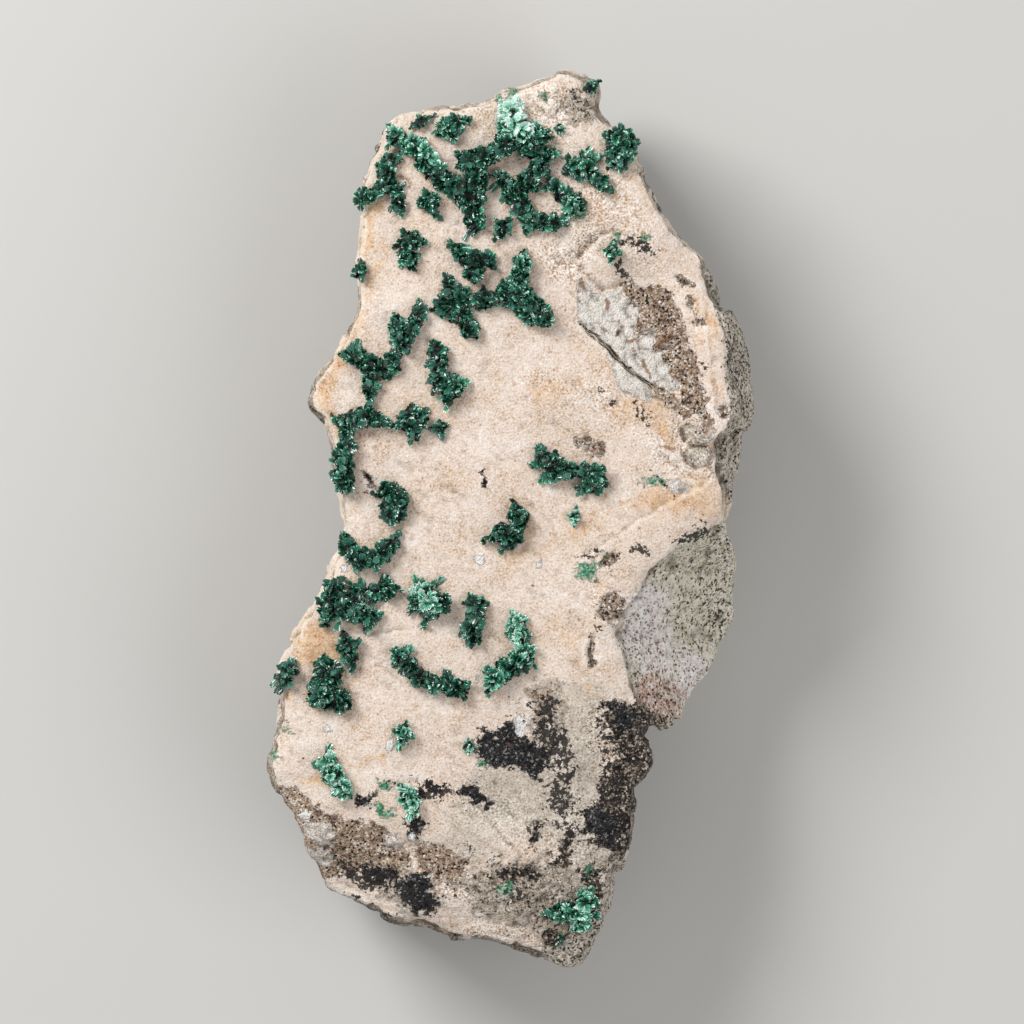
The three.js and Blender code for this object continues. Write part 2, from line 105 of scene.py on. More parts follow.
def ease(values: np.ndarray, low: float, high: float) -> np.ndarray:
    """A smooth step from 0 at low to 1 at high."""
    share = np.clip((values - low) / (high - low), 0, 1)
    return share * share * (3 - 2 * share)


def line_distance(points: np.ndarray, line: np.ndarray, closed: bool = False) -> np.ndarray:
    """Distance from plan points to a line of straight runs.

    Args:
        points: Plan points, one a row, in mm.
        line: The line's corners in mm.
        closed: True where the last corner joins the first.

    Returns:
        One distance in mm for each point.
    """
    best = np.full(len(points), np.inf)
    ends = np.roll(line, -1, axis=0) if closed else line[1:]
    for start, end in zip(line, ends):
        along = end - start
        share = np.clip((points - start) @ along / max(float(along @ along), 1e-9), 0, 1)
        gap = points - start - share[:, None] * along
        best = np.minimum(best, np.hypot(gap[:, 0], gap[:, 1]))
    return best


def line_side(points: np.ndarray, line: np.ndarray) -> np.ndarray:
    """Signed distance from plan points to an open line.

    Args:
        points: Plan points in mm.
        line: The line's corners in mm.

    Returns:
        Distances in mm, positive on the right of the line's direction.
    """
    best = np.full(len(points), np.inf)
    side = np.ones(len(points))
    for start, end in zip(line, line[1:]):
        along = end - start
        offset = points - start
        share = np.clip(offset @ along / max(float(along @ along), 1e-9), 0, 1)
        gap = offset - share[:, None] * along
        distance = np.hypot(gap[:, 0], gap[:, 1])
        turn = along[0] * offset[:, 1] - along[1] * offset[:, 0]
        closer = distance < best
        side = np.where(closer, np.where(turn > 0, -1.0, 1.0), side)
        best = np.minimum(best, distance)
    return best * side


def depth_inside(points: np.ndarray, corners: np.ndarray) -> np.ndarray:
    """Signed distance from plan points to the border of an area.

    Args:
        points: Plan points in mm.
        corners: The area's corners in mm.

    Returns:
        Distances in mm, positive inside.
    """
    inside = np.zeros(len(points), bool)
    for (x0, y0), (x1, y1) in zip(corners, np.roll(corners, -1, axis=0)):
        spans = (y0 > points[:, 1]) != (y1 > points[:, 1])
        if spans.any():
            crossing = x0 + (points[:, 1] - y0) / (y1 - y0) * (x1 - x0)
            inside ^= spans & (points[:, 0] < crossing)
    reach = line_distance(points, corners, closed=True)
    return np.where(inside, reach, -reach)


def mixed(cells: np.ndarray, layer: int) -> np.ndarray:
    """Repeatable random whole numbers from grid cells.

    Args:
        cells: Whole-number cell places, one a row.
        layer: Which of many unlike sets of numbers to use.

    Returns:
        One number of 30 bits for each cell.
    """
    x, y, z = (cells[..., i].astype(np.uint64) for i in range(3))
    total = x * np.uint64(73856093) ^ y * np.uint64(19349663) ^ z * np.uint64(83492791)
    total = total ^ np.uint64(layer * 2654435761 + 97)
    total = (total ^ (total >> np.uint64(15))) * np.uint64(2246822519)
    total = (total ^ (total >> np.uint64(13))) * np.uint64(3266489917)
    return (total ^ (total >> np.uint64(16))) & np.uint64(0x3FFFFFFF)


def parts_of(numbers: np.ndarray) -> np.ndarray:
    """Three values from -1 to 1 out of each random number."""
    shifts = np.array([0, 10, 20], np.uint64)
    return ((numbers[..., None] >> shifts) & np.uint64(1023)).astype(float) / 511.5 - 1


def smooth_noise(points: np.ndarray, size: float, layer: int) -> np.ndarray:
    """Smooth random swings through space.

    Args:
        points: Points in mm.
        size: Distance between swings in mm.
        layer: Which of many unlike patterns to use.

    Returns:
        Values from about -1 to 1.
    """
    grid = points / size + 0.37
    cell = np.floor(grid).astype(np.int64)
    share = grid - cell
    blend = share**3 * (share * (share * 6 - 15) + 10)
    total = np.zeros(len(points))
    for corner in itertools.product((0, 1), repeat=3):
        slope = parts_of(mixed(cell + 100000 + np.array(corner), layer))
        weight = np.prod(np.where(np.array(corner) == 1, blend, 1 - blend), axis=1)
        total += weight * np.sum(slope * (share - corner), axis=1)
    return total * 1.6


def rough_noise(points: np.ndarray, size: float, layer: int, layers: int = 3) -> np.ndarray:
    """Several layers of smooth noise, each half the size and half the swing of the last.

    Args:
        points: Points in mm.
        size: Distance between the largest swings in mm.
        layer: Which of many unlike patterns to use.
        layers: How many layers are added.

    Returns:
        Values from about -1 to 1.
    """
    total = np.zeros(len(points))
    for step in range(layers):
        total += smooth_noise(points, size / 2**step, layer + 31 * step) / 2**step
    return total / (2 - 0.5 ** (layers - 1))


def facets(points: np.ndarray, size: float, layer: int) -> tuple[np.ndarray, np.ndarray]:
    """Broken flat faces: each cell of space has its own level and tilt.

    Args:
        points: Points in mm.
        size: Width of the faces in mm.
        layer: Which of many unlike patterns to use.

    Returns:
        Levels from about -1 to 1, and how far each point is from its cell's border in cells.
    """
    grid = points / size
    home = np.floor(grid).astype(np.int64)
    nearest = np.full(len(points), np.inf)
    second = np.full(len(points), np.inf)
    level = np.zeros(len(points))
    for step in itertools.product((-1, 0, 1), repeat=3):
        cell = home + np.array(step)
        number = mixed(cell + 100000, layer)
        seed = cell + 0.5 + 0.42 * parts_of(number)
        offset = grid - seed
        distance = np.sqrt(np.sum(offset**2, axis=1))
        closer = distance < nearest
        second = np.where(closer, nearest, np.minimum(second, distance))
        tilt = parts_of(mixed(cell + 100000, layer + 501))
        height = 0.6 * tilt[:, 0] + 0.7 * np.sum(tilt * offset, axis=1)
        level = np.where(closer, height, level)
        nearest = np.where(closer, distance, nearest)
    return level, second - nearest


def wandered(points: np.ndarray, swing: float, size: float, layer: int) -> np.ndarray:
    """Plan points shifted by noise, so that what is drawn there gets natural borders.

    Args:
        points: Points in mm, of which the first two values are the plan.
        swing: How far a point moves at most, in mm.
        size: Distance between swings in mm.
        layer: Which of many unlike patterns to use.

    Returns:
        The moved plan points in mm.
    """
    shift = [rough_noise(points, size, layer + turn, 2) for turn in (0, 7)]
    return points[:, :2] + swing * np.stack(shift, axis=1)


def unit(vectors: np.ndarray) -> np.ndarray:
    """The same directions with length one."""
    return vectors / np.maximum(np.linalg.norm(vectors, axis=-1, keepdims=True), 1e-9)


def vertex_places(mesh: bpy.types.Mesh) -> np.ndarray:
    """The places of a mesh's vertices, in mm."""
    flat = np.empty(len(mesh.vertices) * 3, np.float32)
    mesh.vertices.foreach_get("co", flat)
    return flat.reshape(-1, 3).astype(float) / MM


def vertex_normals(mesh: bpy.types.Mesh) -> np.ndarray:
    """The directions that a mesh's vertices face."""
    flat = np.empty(len(mesh.vertices) * 3, np.float32)
    mesh.vertex_normals.foreach_get("vector", flat)
    return flat.reshape(-1, 3).astype(float)


def place_vertices(mesh: bpy.types.Mesh, places: np.ndarray) -> None:
    """Moves a mesh's vertices to places in mm."""
    mesh.vertices.foreach_set("co", (places * MM).astype(np.float32).ravel())
    mesh.update()


def vertex_pairs(mesh: bpy.types.Mesh) -> np.ndarray:
    """The two vertices of each edge of a mesh."""
    pairs = np.empty(len(mesh.edges) * 2, np.int32)
    mesh.edges.foreach_get("vertices", pairs)
    return pairs.reshape(-1, 2)


def neighbour_means(places: np.ndarray, pairs: np.ndarray) -> np.ndarray:
    """The mean place of the vertices that share an edge with each vertex.

    Args:
        places: The vertices.
        pairs: The two vertices of each edge.

    Returns:
        One place for each vertex.
    """
    first, second = pairs.T
    count = len(places)
    neighbours = np.bincount(first, minlength=count) + np.bincount(second, minlength=count)
    means = np.empty_like(places)
    for axis in range(3):
        total = np.bincount(first, places[second, axis], count)
        total += np.bincount(second, places[first, axis], count)
        means[:, axis] = total / neighbours
    return means


def nearest_gaps(places: np.ndarray, targets: np.ndarray) -> np.ndarray:
    """Distance from each place to the nearest of the targets.

    Args:
        places: The places in mm.
        targets: The places that are looked for, in mm.

    Returns:
        One distance in mm for each place.
    """
    tree = KDTree(len(targets))
    for index, target in enumerate(targets):
        tree.insert(target, index)
    tree.balance()
    return np.array([tree.find(place)[2] for place in places])


def store_values(mesh: bpy.types.Mesh, name: str, values: np.ndarray) -> None:
    """Keeps one number a vertex on a mesh, for its material to read."""
    attribute = mesh.attributes.new(name, "FLOAT", "POINT")
    attribute.data.foreach_set("value", values.astype(np.float32))


def add_node(
    tree: bpy.types.NodeTree,
    kind: str,
    inputs: dict[int | str, object] | tuple[object, ...] = (),
    out: int | str = 0,
    stops: dict[float, str] | None = None,
    **settings: object,
) -> bpy.types.NodeSocket | None:
    """Adds one node to a material with its settings, values and links.

    Args:
        tree: The material's node tree.
        kind: Blender's name for the node, without ShaderNode in front.
        inputs: A value for each input or the socket linked to it, by place or by name.
        out: The output that is wanted, by place or by name.
        stops: The colours of a colour ramp by their place from 0 to 1.
        settings: The node's own properties.

    Returns:
        The wanted output, or None for a node without one. The node's other outputs are reached
        through the output's own node.
    """
    node = tree.nodes.new("ShaderNode" + kind)
    for name, value in settings.items():
        setattr(node, name, value)
    pairs = inputs.items() if isinstance(inputs, dict) else enumerate(inputs)
    for key, value in pairs:
        if isinstance(value, bpy.types.NodeSocket):
            tree.links.new(value, node.inputs[key])
        else:
            node.inputs[key].default_value = value
    if stops:
        ramp = node.color_ramp
        while len(ramp.elements) < len(stops):
            ramp.elements.new(0.5)
        for element, (place, code) in zip(ramp.elements, sorted(stops.items())):
            element.position = place
            element.color = linear_colour(code)
    return node.outputs[out] if len(node.outputs) else None


def empty_material(
    name: str,
) -> tuple[bpy.types.Material, Callable[..., bpy.types.NodeSocket]]:
    """Makes a material without nodes.

    Args:
        name: The material's name.

    Returns:
        The material, and the function that adds a node to it.
    """
    material = bpy.data.materials.new(name)
    material.use_nodes = True
    material.node_tree.nodes.clear()
    return material, functools.partial(add_node, material.node_tree)


def spread_stops(
    codes: tuple[str, ...], low: float = 0.28, high: float = 0.72
) -> dict[float, str]:
    """Colours set at even steps over the part of a ramp that a noise pattern reaches.

    Args:
        codes: The colours in order.
        low: The place of the first colour.
        high: The place of the last colour.

    Returns:
        The colours by their place.
    """
    return dict(zip(np.linspace(low, high, len(codes)).tolist(), codes))


class Form(Enum):
    """What a line on the face does to it."""

    GROOVE = "groove"
    RIDGE = "ridge"
    STEP = "step"


@dataclass(frozen=True)
class Mark:
    """A line of relief: its course in the picture, and its height and reach in mm.

    A step drops on the right of its course and rises back over its reach.
    """

    form: Form
    course: Line
    height: float
    reach: float

    def relief(self, points: np.ndarray) -> np.ndarray:
        """How far the line raises the face at plan points, in mm."""
        course = plan(self.course)
        if self.form is Form.STEP:
            side = line_side(points, course)
            drop = ease(side, -0.15, 0.25) * np.exp(-np.maximum(side, 0) / self.reach)
            return -self.height * drop
        swell = np.exp(-((line_distance(points, course) / self.reach) ** 2))
        return self.height * swell * (1 if self.form is Form.RIDGE else -1)


@dataclass(frozen=True)
class Haze:
    """A soft-edged streak: its two ends and its reach in the picture, and its strength.

    The strength is a share for a stain and a height in mm for a swelling.
    """

    ends: Line
    reach: float
    strength: float

    def amount(self, points: np.ndarray) -> np.ndarray:
        """The streak's strength at plan points."""
        distance = line_distance(points, plan(self.ends)) / (self.reach * MM_PER_PIXEL)
        return self.strength * np.exp(-(distance**2))


def hazes(rows: tuple[tuple[float, ...], ...]) -> tuple[Haze, ...]:
    """Streaks from rows of x, y, x, y, reach and strength."""
    return tuple(Haze(((a, b), (c, d)), reach, power) for a, b, c, d, reach, power in rows)


def summed(streaks: tuple[Haze, ...], points: np.ndarray) -> np.ndarray:
    """The strengths of many streaks at plan points, added up."""
    return sum(streak.amount(points) for streak in streaks)


@dataclass(frozen=True)
class Coat:
    """One kind of surface on the slab: where it lies and how it looks.

    Attributes:
        name: The name of its mask on the mesh.
        areas: The areas it covers, as corners in the picture.
        tones: Its colours from deepest to palest.
        fray: How far its border wanders, in mm.
        softness: How wide its border fades, in mm.
        grain: The share of its fine grain in its colour, and the rest is mottling.
        roughness: Its gloss, from 0 for a mirror to 1 for chalk.
        relief: The height of its fine bumps, as a share of the finish's bump height.
        step: How far it stands above the clay, in mm.
        crumble: The swing of its own coarse bumps, in mm.
        bump_size: The width of those bumps, in mm.
        hold: The largest depth inside its border that counts, in mm, so a low one lets holes in.
        fading: How much of its border it loses for each mm down the sides, in mm.
        odd_grains: The colours of odd grains strewn in it.
    """

    name: str
    areas: tuple[Line, ...]
    tones: tuple[str, ...]
    fray: float = 0.5
    softness: float = 0.12
    grain: float = 0.5
    roughness: float = 0.85
    relief: float = 1.0
    step: float = 0.0
    crumble: float = 0.0
    bump_size: float = 1.0
    hold: float = MASK_REACH
    fading: float = 0.55
    odd_grains: tuple[str, ...] = ()

    def depth(self, points: np.ndarray) -> np.ndarray:
        """Signed distance in mm into the nearest of its areas, positive inside."""
        return np.max([depth_inside(points, plan(area)) for area in self.areas], axis=0)


# Fine grey-brown rock of the broken right-hand rim: dusty, with dark and pale grains
RIM_ROCK = Coat(
    "rim_rock",
    (
        (
            (700, 262), (704, 270), (707, 286), (714, 303), (721, 319), (725, 336), (726, 361),
            (727, 386), (731, 402), (732, 419), (724, 436), (711, 442), (712, 455), (728, 470),
            (734, 520), (790, 520), (790, 262),
        ),
        (
            (608, 862), (616, 848), (645, 845), (645, 960), (606, 960), (600, 932), (603, 905),
            (607, 885),
        ),
        (
            (540, 950), (560, 938), (576, 931), (590, 920), (600, 904), (620, 904), (612, 990),
            (545, 990),
        ),
    ),
    ("#463c33", "#9a8f80", "#c4b8a7", "#d9cfbf", "#ece4d7", "#f8f2e8"),
    fray=0.9, grain=0.55, relief=1.8, step=-0.15, crumble=0.4, bump_size=1.6, fading=0.0,
    odd_grains=("#6f645a", "#e2d8cc", "#2b2520"),
)

# The weathered facet on the lower right: greenish grey rock, dull and pitted
FACET_ROCK = Coat(
    "facet_rock",
    (
        (
            (727, 522), (711, 530), (701, 528), (682, 536), (670, 554), (650, 575), (646, 587),
            (629, 611), (619, 640), (627, 664), (631, 685), (638, 701), (654, 718), (672, 740),
            (790, 720), (790, 522),
        ),
    ),
    ("#857964", "#d3cab3", "#ece4cf", "#f6efdd", "#fffcf2"),
    fray=0.5, grain=0.42, relief=1.8, crumble=0.34, bump_size=1.6, fading=0.0,
    odd_grains=("#a59b86", "#faf7f0", "#4c453b"),
)

# Whitish lilac bloom on the facet's inner side and lower end, where few dark grains show
FACET_BLOOM = Coat(
    "facet_bloom",
    (
        ((629, 600), (650, 580), (668, 590), (680, 646), (682, 690), (640, 676), (618, 640)),
        ((674, 636), (700, 650), (720, 656), (704, 704), (686, 716), (668, 690)),
    ),
    ("#d2c3b9", "#f6ebe4", "#fffaf5", "#ffffff"),
    fray=1.6, softness=1.0, grain=0.34, relief=1.7, crumble=0.3, bump_size=1.8, hold=2.4,
    fading=0.08, odd_grains=("#b09c8e", "#fffcfa", "#8d7c70"),
)

# Pinkish brown foot of the facet, where the rock is stained by iron
FACET_FOOT = Coat(
    "facet_foot",
    (((633, 680), (652, 672), (682, 676), (700, 690), (690, 730), (655, 730), (636, 702)),),
    ("#6c4e41", "#c29a87", "#e6c7b7", "#f2ddd1", "#fff7f1"),
    fray=2.0, softness=0.9, grain=0.6, relief=1.9, crumble=0.3, bump_size=1.2, hold=1.3,
    fading=0.2, odd_grains=("#9c5f49", "#f8efe8", "#33231e"),
)

# Kaolin seam: soft chalky white clay, flaky and scarcely coloured
KAOLIN = Coat(
    "kaolin",
    (
        (
            (578, 275), (586, 283), (595, 290), (605, 295), (613, 291), (619, 287), (624, 295),
            (634, 301), (639, 308), (639, 316), (636, 326), (636, 334), (648, 329), (658, 328),
            (656, 339), (653, 351), (658, 351), (669, 343), (676, 343), (669, 351), (663, 358),
            (669, 369), (677, 379), (682, 388), (672, 392), (660, 390), (648, 382), (636, 373),
            (622, 361), (606, 345), (592, 333), (580, 322), (577, 306),
        ),
        (
            (606, 350), (619, 362), (630, 371), (646, 384), (656, 396), (652, 402), (636, 397),
            (623, 392), (616, 384), (614, 370),
        ),
        ((668, 481), (680, 479), (691, 486), (684, 493), (671, 491)),
        ((512, 722), (518, 716), (526, 720), (526, 731), (519, 736), (513, 730)),
    ),
    ("#a89c8d", "#d8cec1", "#ece5db", "#f6f1ea", "#fffdfa"),
    fray=0.6, grain=0.2, roughness=0.8, relief=1.7, step=-0.2, crumble=0.65, bump_size=1.7,
)

# Iron-brown granular rock: sand grains laid bare, some amber and some nearly black
BROWN_SAND = Coat(
    "brown_sand",
    (
        (
            (278, 788), (294, 786), (308, 798), (318, 812), (344, 820), (369, 820), (387, 832),
            (404, 850), (412, 866), (398, 874), (369, 873), (330, 880), (300, 900), (260, 850),
            (258, 780),
        ),
        ((416, 846), (436, 844), (466, 862), (462, 884), (436, 880), (420, 866)),
        (
            (621, 285), (629, 283), (639, 288), (653, 287), (666, 288), (673, 295), (678, 306),
            (682, 319), (686, 328), (687, 339), (692, 353), (696, 364), (701, 377), (704, 389),
            (706, 402), (711, 416), (711, 427), (702, 419), (694, 411), (679, 402), (682, 387),
            (677, 379), (669, 369), (663, 358), (669, 351), (676, 343), (669, 343), (658, 351),
            (653, 351), (656, 339), (658, 328), (648, 329), (636, 334), (636, 326), (639, 316),
            (639, 308), (634, 301), (624, 295),
        ),
        ((648, 384), (664, 386), (682, 404), (700, 420), (684, 417), (664, 404)),
    ),
    ("#2c1d15", "#745949", "#a88b77", "#bfa691", "#d3bda8", "#e8d8c6", "#fbf5ea"),
    fray=1.2, grain=0.5, relief=2.4, step=-0.1, crumble=0.4, bump_size=1.1,
    odd_grains=("#a98b66", "#f4ecdf", "#2a1f17"),
)

# Quartz and pale chips in the lower left corner: greyish white, a little glassy
QUARTZ = Coat(
    "quartz",
    (
        ((304, 826), (316, 820), (330, 823), (338, 834), (330, 845), (314, 843), (303, 836)),
        ((304, 850), (316, 847), (330, 852), (332, 864), (318, 870), (306, 866)),
        ((384, 838), (396, 836), (404, 842), (398, 850), (386, 848)),
    ),
    ("#9d8d7f", "#d2c5b8", "#efe7dd", "#ffffff"),
    fray=1.1, grain=0.5, roughness=0.5, relief=1.9, step=0.2, crumble=0.55, bump_size=1.2,
)

# Loose brown and grey stone chips bedded in the clay
STONE_CHIPS = Coat(
    "stone_chips",
    (
        ((576, 440), (584, 436), (598, 442), (606, 452), (600, 458), (586, 452)),
        ((603, 597), (617, 589), (627, 609), (619, 618), (609, 624), (599, 613)),
        ((718, 406), (729, 404), (731, 415), (722, 418)),
        ((687, 298), (696, 300), (694, 308), (687, 305)),
        ((697, 316), (704, 318), (703, 325), (697, 323)),
        ((588, 640), (594, 642), (594, 664), (588, 664)),
        ((365, 473), (371, 474), (376, 484), (371, 487), (366, 480)),
        ((603, 554), (612, 552), (619, 560), (612, 569), (603, 566)),
        ((675, 274), (680, 276), (695, 285), (694, 288), (684, 284)),
    ),
    ("#4b3a2d", "#8a7464", "#b09c8a", "#cdbdac", "#efe6da"),
    fray=1.2, softness=0.3, grain=0.6, relief=2.0, step=-0.2, crumble=0.35, bump_size=0.9,
    hold=1.6, odd_grains=("#8a5f43", "#f6efe5", "#2d2019"),
)

# Two blocks of pale grey stone wedged at the right-hand rim
GREY_BLOCKS = Coat(
    "grey_blocks",
    (
        ((683, 428), (691, 425), (711, 432), (709, 442), (694, 443), (686, 437)),
        ((684, 452), (693, 446), (704, 448), (712, 457), (706, 466), (690, 463)),
    ),
    ("#9a8b79", "#cfc2b1", "#e6dbcc", "#fbf4ea"),
    fray=1.4, softness=0.5, grain=0.45, relief=2.0, step=0.2, crumble=0.6, bump_size=1.5,
    odd_grains=("#a88664", "#fbf6ee", "#4e4034"),
)

# Crumbly earth: clay mixed with dark mineral grains and bits of rock
MIXED_EARTH = Coat(
    "mixed_earth",
    (
        (
            (470, 888), (500, 866), (545, 860), (566, 872), (590, 884), (600, 915), (592, 945),
            (560, 955), (520, 930), (480, 915),
        ),
        ((356, 866), (396, 868), (430, 878), (440, 905), (410, 918), (380, 890)),
        ((530, 690), (556, 684), (566, 700), (562, 730), (548, 748), (536, 735), (537, 710)),
        ((572, 92), (590, 96), (592, 118), (574, 124), (566, 108)),
        ((430, 926), (480, 938), (540, 950), (545, 975), (470, 960), (420, 945)),
    ),
    ("#6e5c4a", "#b5a48f", "#d8c9b4", "#e8dccb", "#f9f3e8"),
    fray=2.1, softness=0.9, grain=0.5, relief=2.2, crumble=0.4, bump_size=1.3, hold=0.4,
    odd_grains=("#8d715a", "#fbf5ea", "#40332a"),
)

# Oxide grown over crumbly rock: a brown-black crust with paler grains poking through
OXIDE_CRUST = Coat(
    "oxide_crust",
    (
        (
            (605, 702), (630, 703), (651, 721), (665, 730), (675, 760), (660, 800), (638, 809),
            (634, 853), (617, 862), (601, 847), (583, 832), (585, 812), (599, 797), (599, 788),
            (618, 759), (614, 745), (607, 724),
        ),
        (
            (566, 835), (577, 834), (574, 847), (566, 862), (555, 868), (551, 863), (558, 850),
        ),
        (
            (579, 870), (592, 866), (601, 872), (603, 890), (600, 909), (594, 906), (590, 890),
            (583, 882),
        ),
        ((629, 699), (652, 712), (684, 716), (690, 736), (654, 740), (634, 716)),
        ((498, 872), (519, 864), (536, 868), (540, 882), (520, 880), (503, 884)),
        ((530, 822), (541, 820), (540, 835), (535, 848), (529, 840)),
        ((542, 938), (556, 930), (566, 944), (560, 962), (546, 956)),
    ),
    ("#0b0908", "#261f1a", "#41372f", "#6d5f53", "#b8aa9a"),
    fray=2.0, softness=0.12, grain=0.8, roughness=0.5, relief=2.6, step=0.05, crumble=0.5,
    bump_size=1.2, hold=1.3, fading=0.25, odd_grains=("#a39484", "#0a0807", "#d8ccbd"),
)

# Manganese oxide: a thin sooty black crust with a dull sheen
BLACK_OXIDE = Coat(
    "black_oxide",
    (
        (
            (478, 728), (489, 732), (500, 733), (501, 723), (510, 720), (517, 725), (522, 736),
            (533, 743), (551, 754), (552, 765), (536, 779), (522, 771), (504, 766), (489, 767),
            (478, 757),
        ),
        ((585, 815), (600, 806), (622, 816), (626, 836), (612, 848), (596, 842), (586, 830)),
        ((606, 704), (622, 704), (640, 716), (630, 732), (614, 724)),
        ((456, 788), (473, 788), (489, 800), (488, 808), (475, 804), (461, 796)),
        ((429, 783), (441, 784), (440, 796), (430, 794)),
        ((416, 791), (425, 792), (424, 798), (416, 797)),
        ((408, 818), (420, 814), (425, 826), (416, 841), (408, 834)),
        ((357, 794), (372, 797), (371, 806), (358, 803)),
        ((356, 868), (381, 868), (398, 871), (392, 881), (369, 882)),
        ((396, 884), (416, 871), (428, 874), (434, 905), (417, 915), (405, 905)),
        ((325, 893), (345, 893), (385, 914), (420, 930), (400, 945), (350, 915)),
        ((481, 470), (484, 474), (488, 486), (483, 484)),
        ((366, 474), (370, 474), (375, 486), (371, 487)),
    ),
    ("#070707", "#161618", "#28282b", "#3f3e41", "#8d8985"),
    fray=1.8, softness=0.05, grain=0.75, roughness=0.36, relief=2.6, step=0.08, crumble=0.4,
    bump_size=1.0, hold=1.1, fading=0.05, odd_grains=("#a09a93", "#060606"),
)

# Copper stain: a film of fine pale green malachite with no height of its own
GREEN_STAIN = Coat(
    "green_stain",
    (
        ((373, 802), (384, 806), (394, 816), (381, 815)),
        ((466, 742), (475, 742), (475, 750), (467, 750)),
        ((479, 759), (484, 760), (484, 765), (479, 764)),
        ((497, 885), (507, 884), (515, 890), (510, 897), (499, 893)),
        ((586, 868), (595, 868), (595, 873), (587, 873)),
        ((557, 941), (567, 940), (567, 947), (558, 947)),
        ((578, 562), (597, 566), (592, 580), (577, 576)),
        ((602, 552), (607, 552), (607, 557), (602, 557)),
        ((642, 478), (662, 477), (660, 484), (644, 484)),
        ((615, 236), (621, 236), (621, 241), (615, 241)),
        ((639, 234), (648, 236), (646, 247), (640, 245)),
        ((509, 88), (515, 89), (514, 94), (509, 93)),
        ((494, 97), (500, 98), (499, 102), (494, 101)),
        ((538, 94), (544, 94), (544, 98), (539, 98)),
        ((547, 153), (560, 153), (560, 158), (548, 158)),
        ((282, 726), (288, 727), (288, 732), (282, 731)),
        ((270, 750), (275, 750), (275, 757), (270, 756)),
        ((380, 780), (390, 780), (392, 790), (382, 790)),
        ((310, 368), (320, 364), (322, 369), (311, 373)),
        ((566, 206), (580, 204), (584, 214), (572, 220)),
    ),
    ("#17563b", "#3a9069", "#7cbb98", "#c6d6c0"),
    fray=1.7, softness=0.4, grain=0.8, roughness=0.7, relief=1.5, hold=0.8,
)

# Chalky white flecks: clean kaolin chipped loose, the palest thing on the face
CHALK_FLECKS = Coat(
    "chalk_flecks",
    (
        ((514, 720), (521, 716), (529, 720), (527, 731), (519, 735), (514, 728)),
        ((386, 741), (392, 737), (394, 748), (389, 754)),
        ((476, 556), (482, 554), (485, 561), (480, 566), (476, 562)),
        ((537, 561), (541, 559), (542, 565), (538, 566)),
        ((475, 676), (480, 674), (481, 681), (476, 682)),
        ((322, 727), (329, 725), (331, 732), (325, 735)),
        ((340, 566), (346, 564), (347, 569), (342, 570)),
        ((412, 830), (418, 836), (414, 843), (409, 838)),
        ((297, 812), (306, 808), (312, 816), (304, 822)),
    ),
    ("#cfc5b8", "#f3eee6", "#ffffff", "#ffffff"),
    fray=0.7, grain=0.3, roughness=0.75, relief=2.0, step=0.12, crumble=0.4, bump_size=1.0,
)

COATS = (
    RIM_ROCK,
    FACET_ROCK,
    FACET_BLOOM,
    FACET_FOOT,
    KAOLIN,
    BROWN_SAND,
    QUARTZ,
    STONE_CHIPS,
    GREY_BLOCKS,
    MIXED_EARTH,
    OXIDE_CRUST,
    BLACK_OXIDE,
    CHALK_FLECKS,
    GREEN_STAIN,
)

# Iron stain in the clay, from pale straw to rusty tan
OCHRE = hazes((
    (372, 196, 361, 246, 11, 0.9), (350, 322, 322, 385, 15, 0.8), (322, 402, 338, 432, 9, 0.6),
    (298, 632, 330, 652, 17, 1.3), (430, 108, 489, 104, 6, 0.9), (538, 396, 578, 380, 15, 0.5),
    (615, 408, 664, 420, 14, 0.55), (655, 498, 722, 506, 17, 0.5), (520, 560, 700, 486, 22, 0.35),
    (366, 761, 384, 761, 7, 0.6), (534, 694, 548, 688, 7, 0.8), (598, 905, 604, 895, 7, 0.7),
    (582, 282, 589, 292, 3, 0.9), (560, 350, 610, 352, 12, 0.25), (440, 480, 520, 470, 18, 0.25),
    (286, 700, 280, 745, 6, 0.5), (381, 250, 372, 300, 7, 0.4), (640, 180, 650, 215, 7, 0.45),
    (560, 620, 590, 690, 14, 0.35), (400, 395, 470, 420, 12, 0.2), (330, 780, 300, 776, 5, 0.5),
    (350, 860, 395, 860, 9, 0.6), (690, 290, 715, 330, 6, 0.4), (604, 590, 590, 640, 9, 0.4),
    (704, 300, 714, 400, 12, 0.4), (664, 430, 672, 446, 7, 0.6), (640, 396, 668, 402, 8, 0.4),
))

# Cooler, greener clay, and painted shade, where the face falls away from the light
GREY_CLAY_AND_SHADE = hazes((
    (560, 760, 600, 840, 34, 1.0), (480, 800, 470, 845, 28, 0.75), (590, 700, 560, 760, 24, 0.8),
    (600, 640, 640, 600, 16, 0.45), (520, 905, 600, 880, 28, 0.35), (500, 790, 540, 820, 30, 0.8),
    (505, 120, 560, 230, 34, 0.25), (560, 100, 590, 110, 12, 0.6), (600, 240, 640, 268, 16, 0.4),
    (440, 860, 520, 930, 26, 0.35), (700, 440, 715, 470, 12, 0.5), (395, 830, 420, 850, 12, 0.5),
))

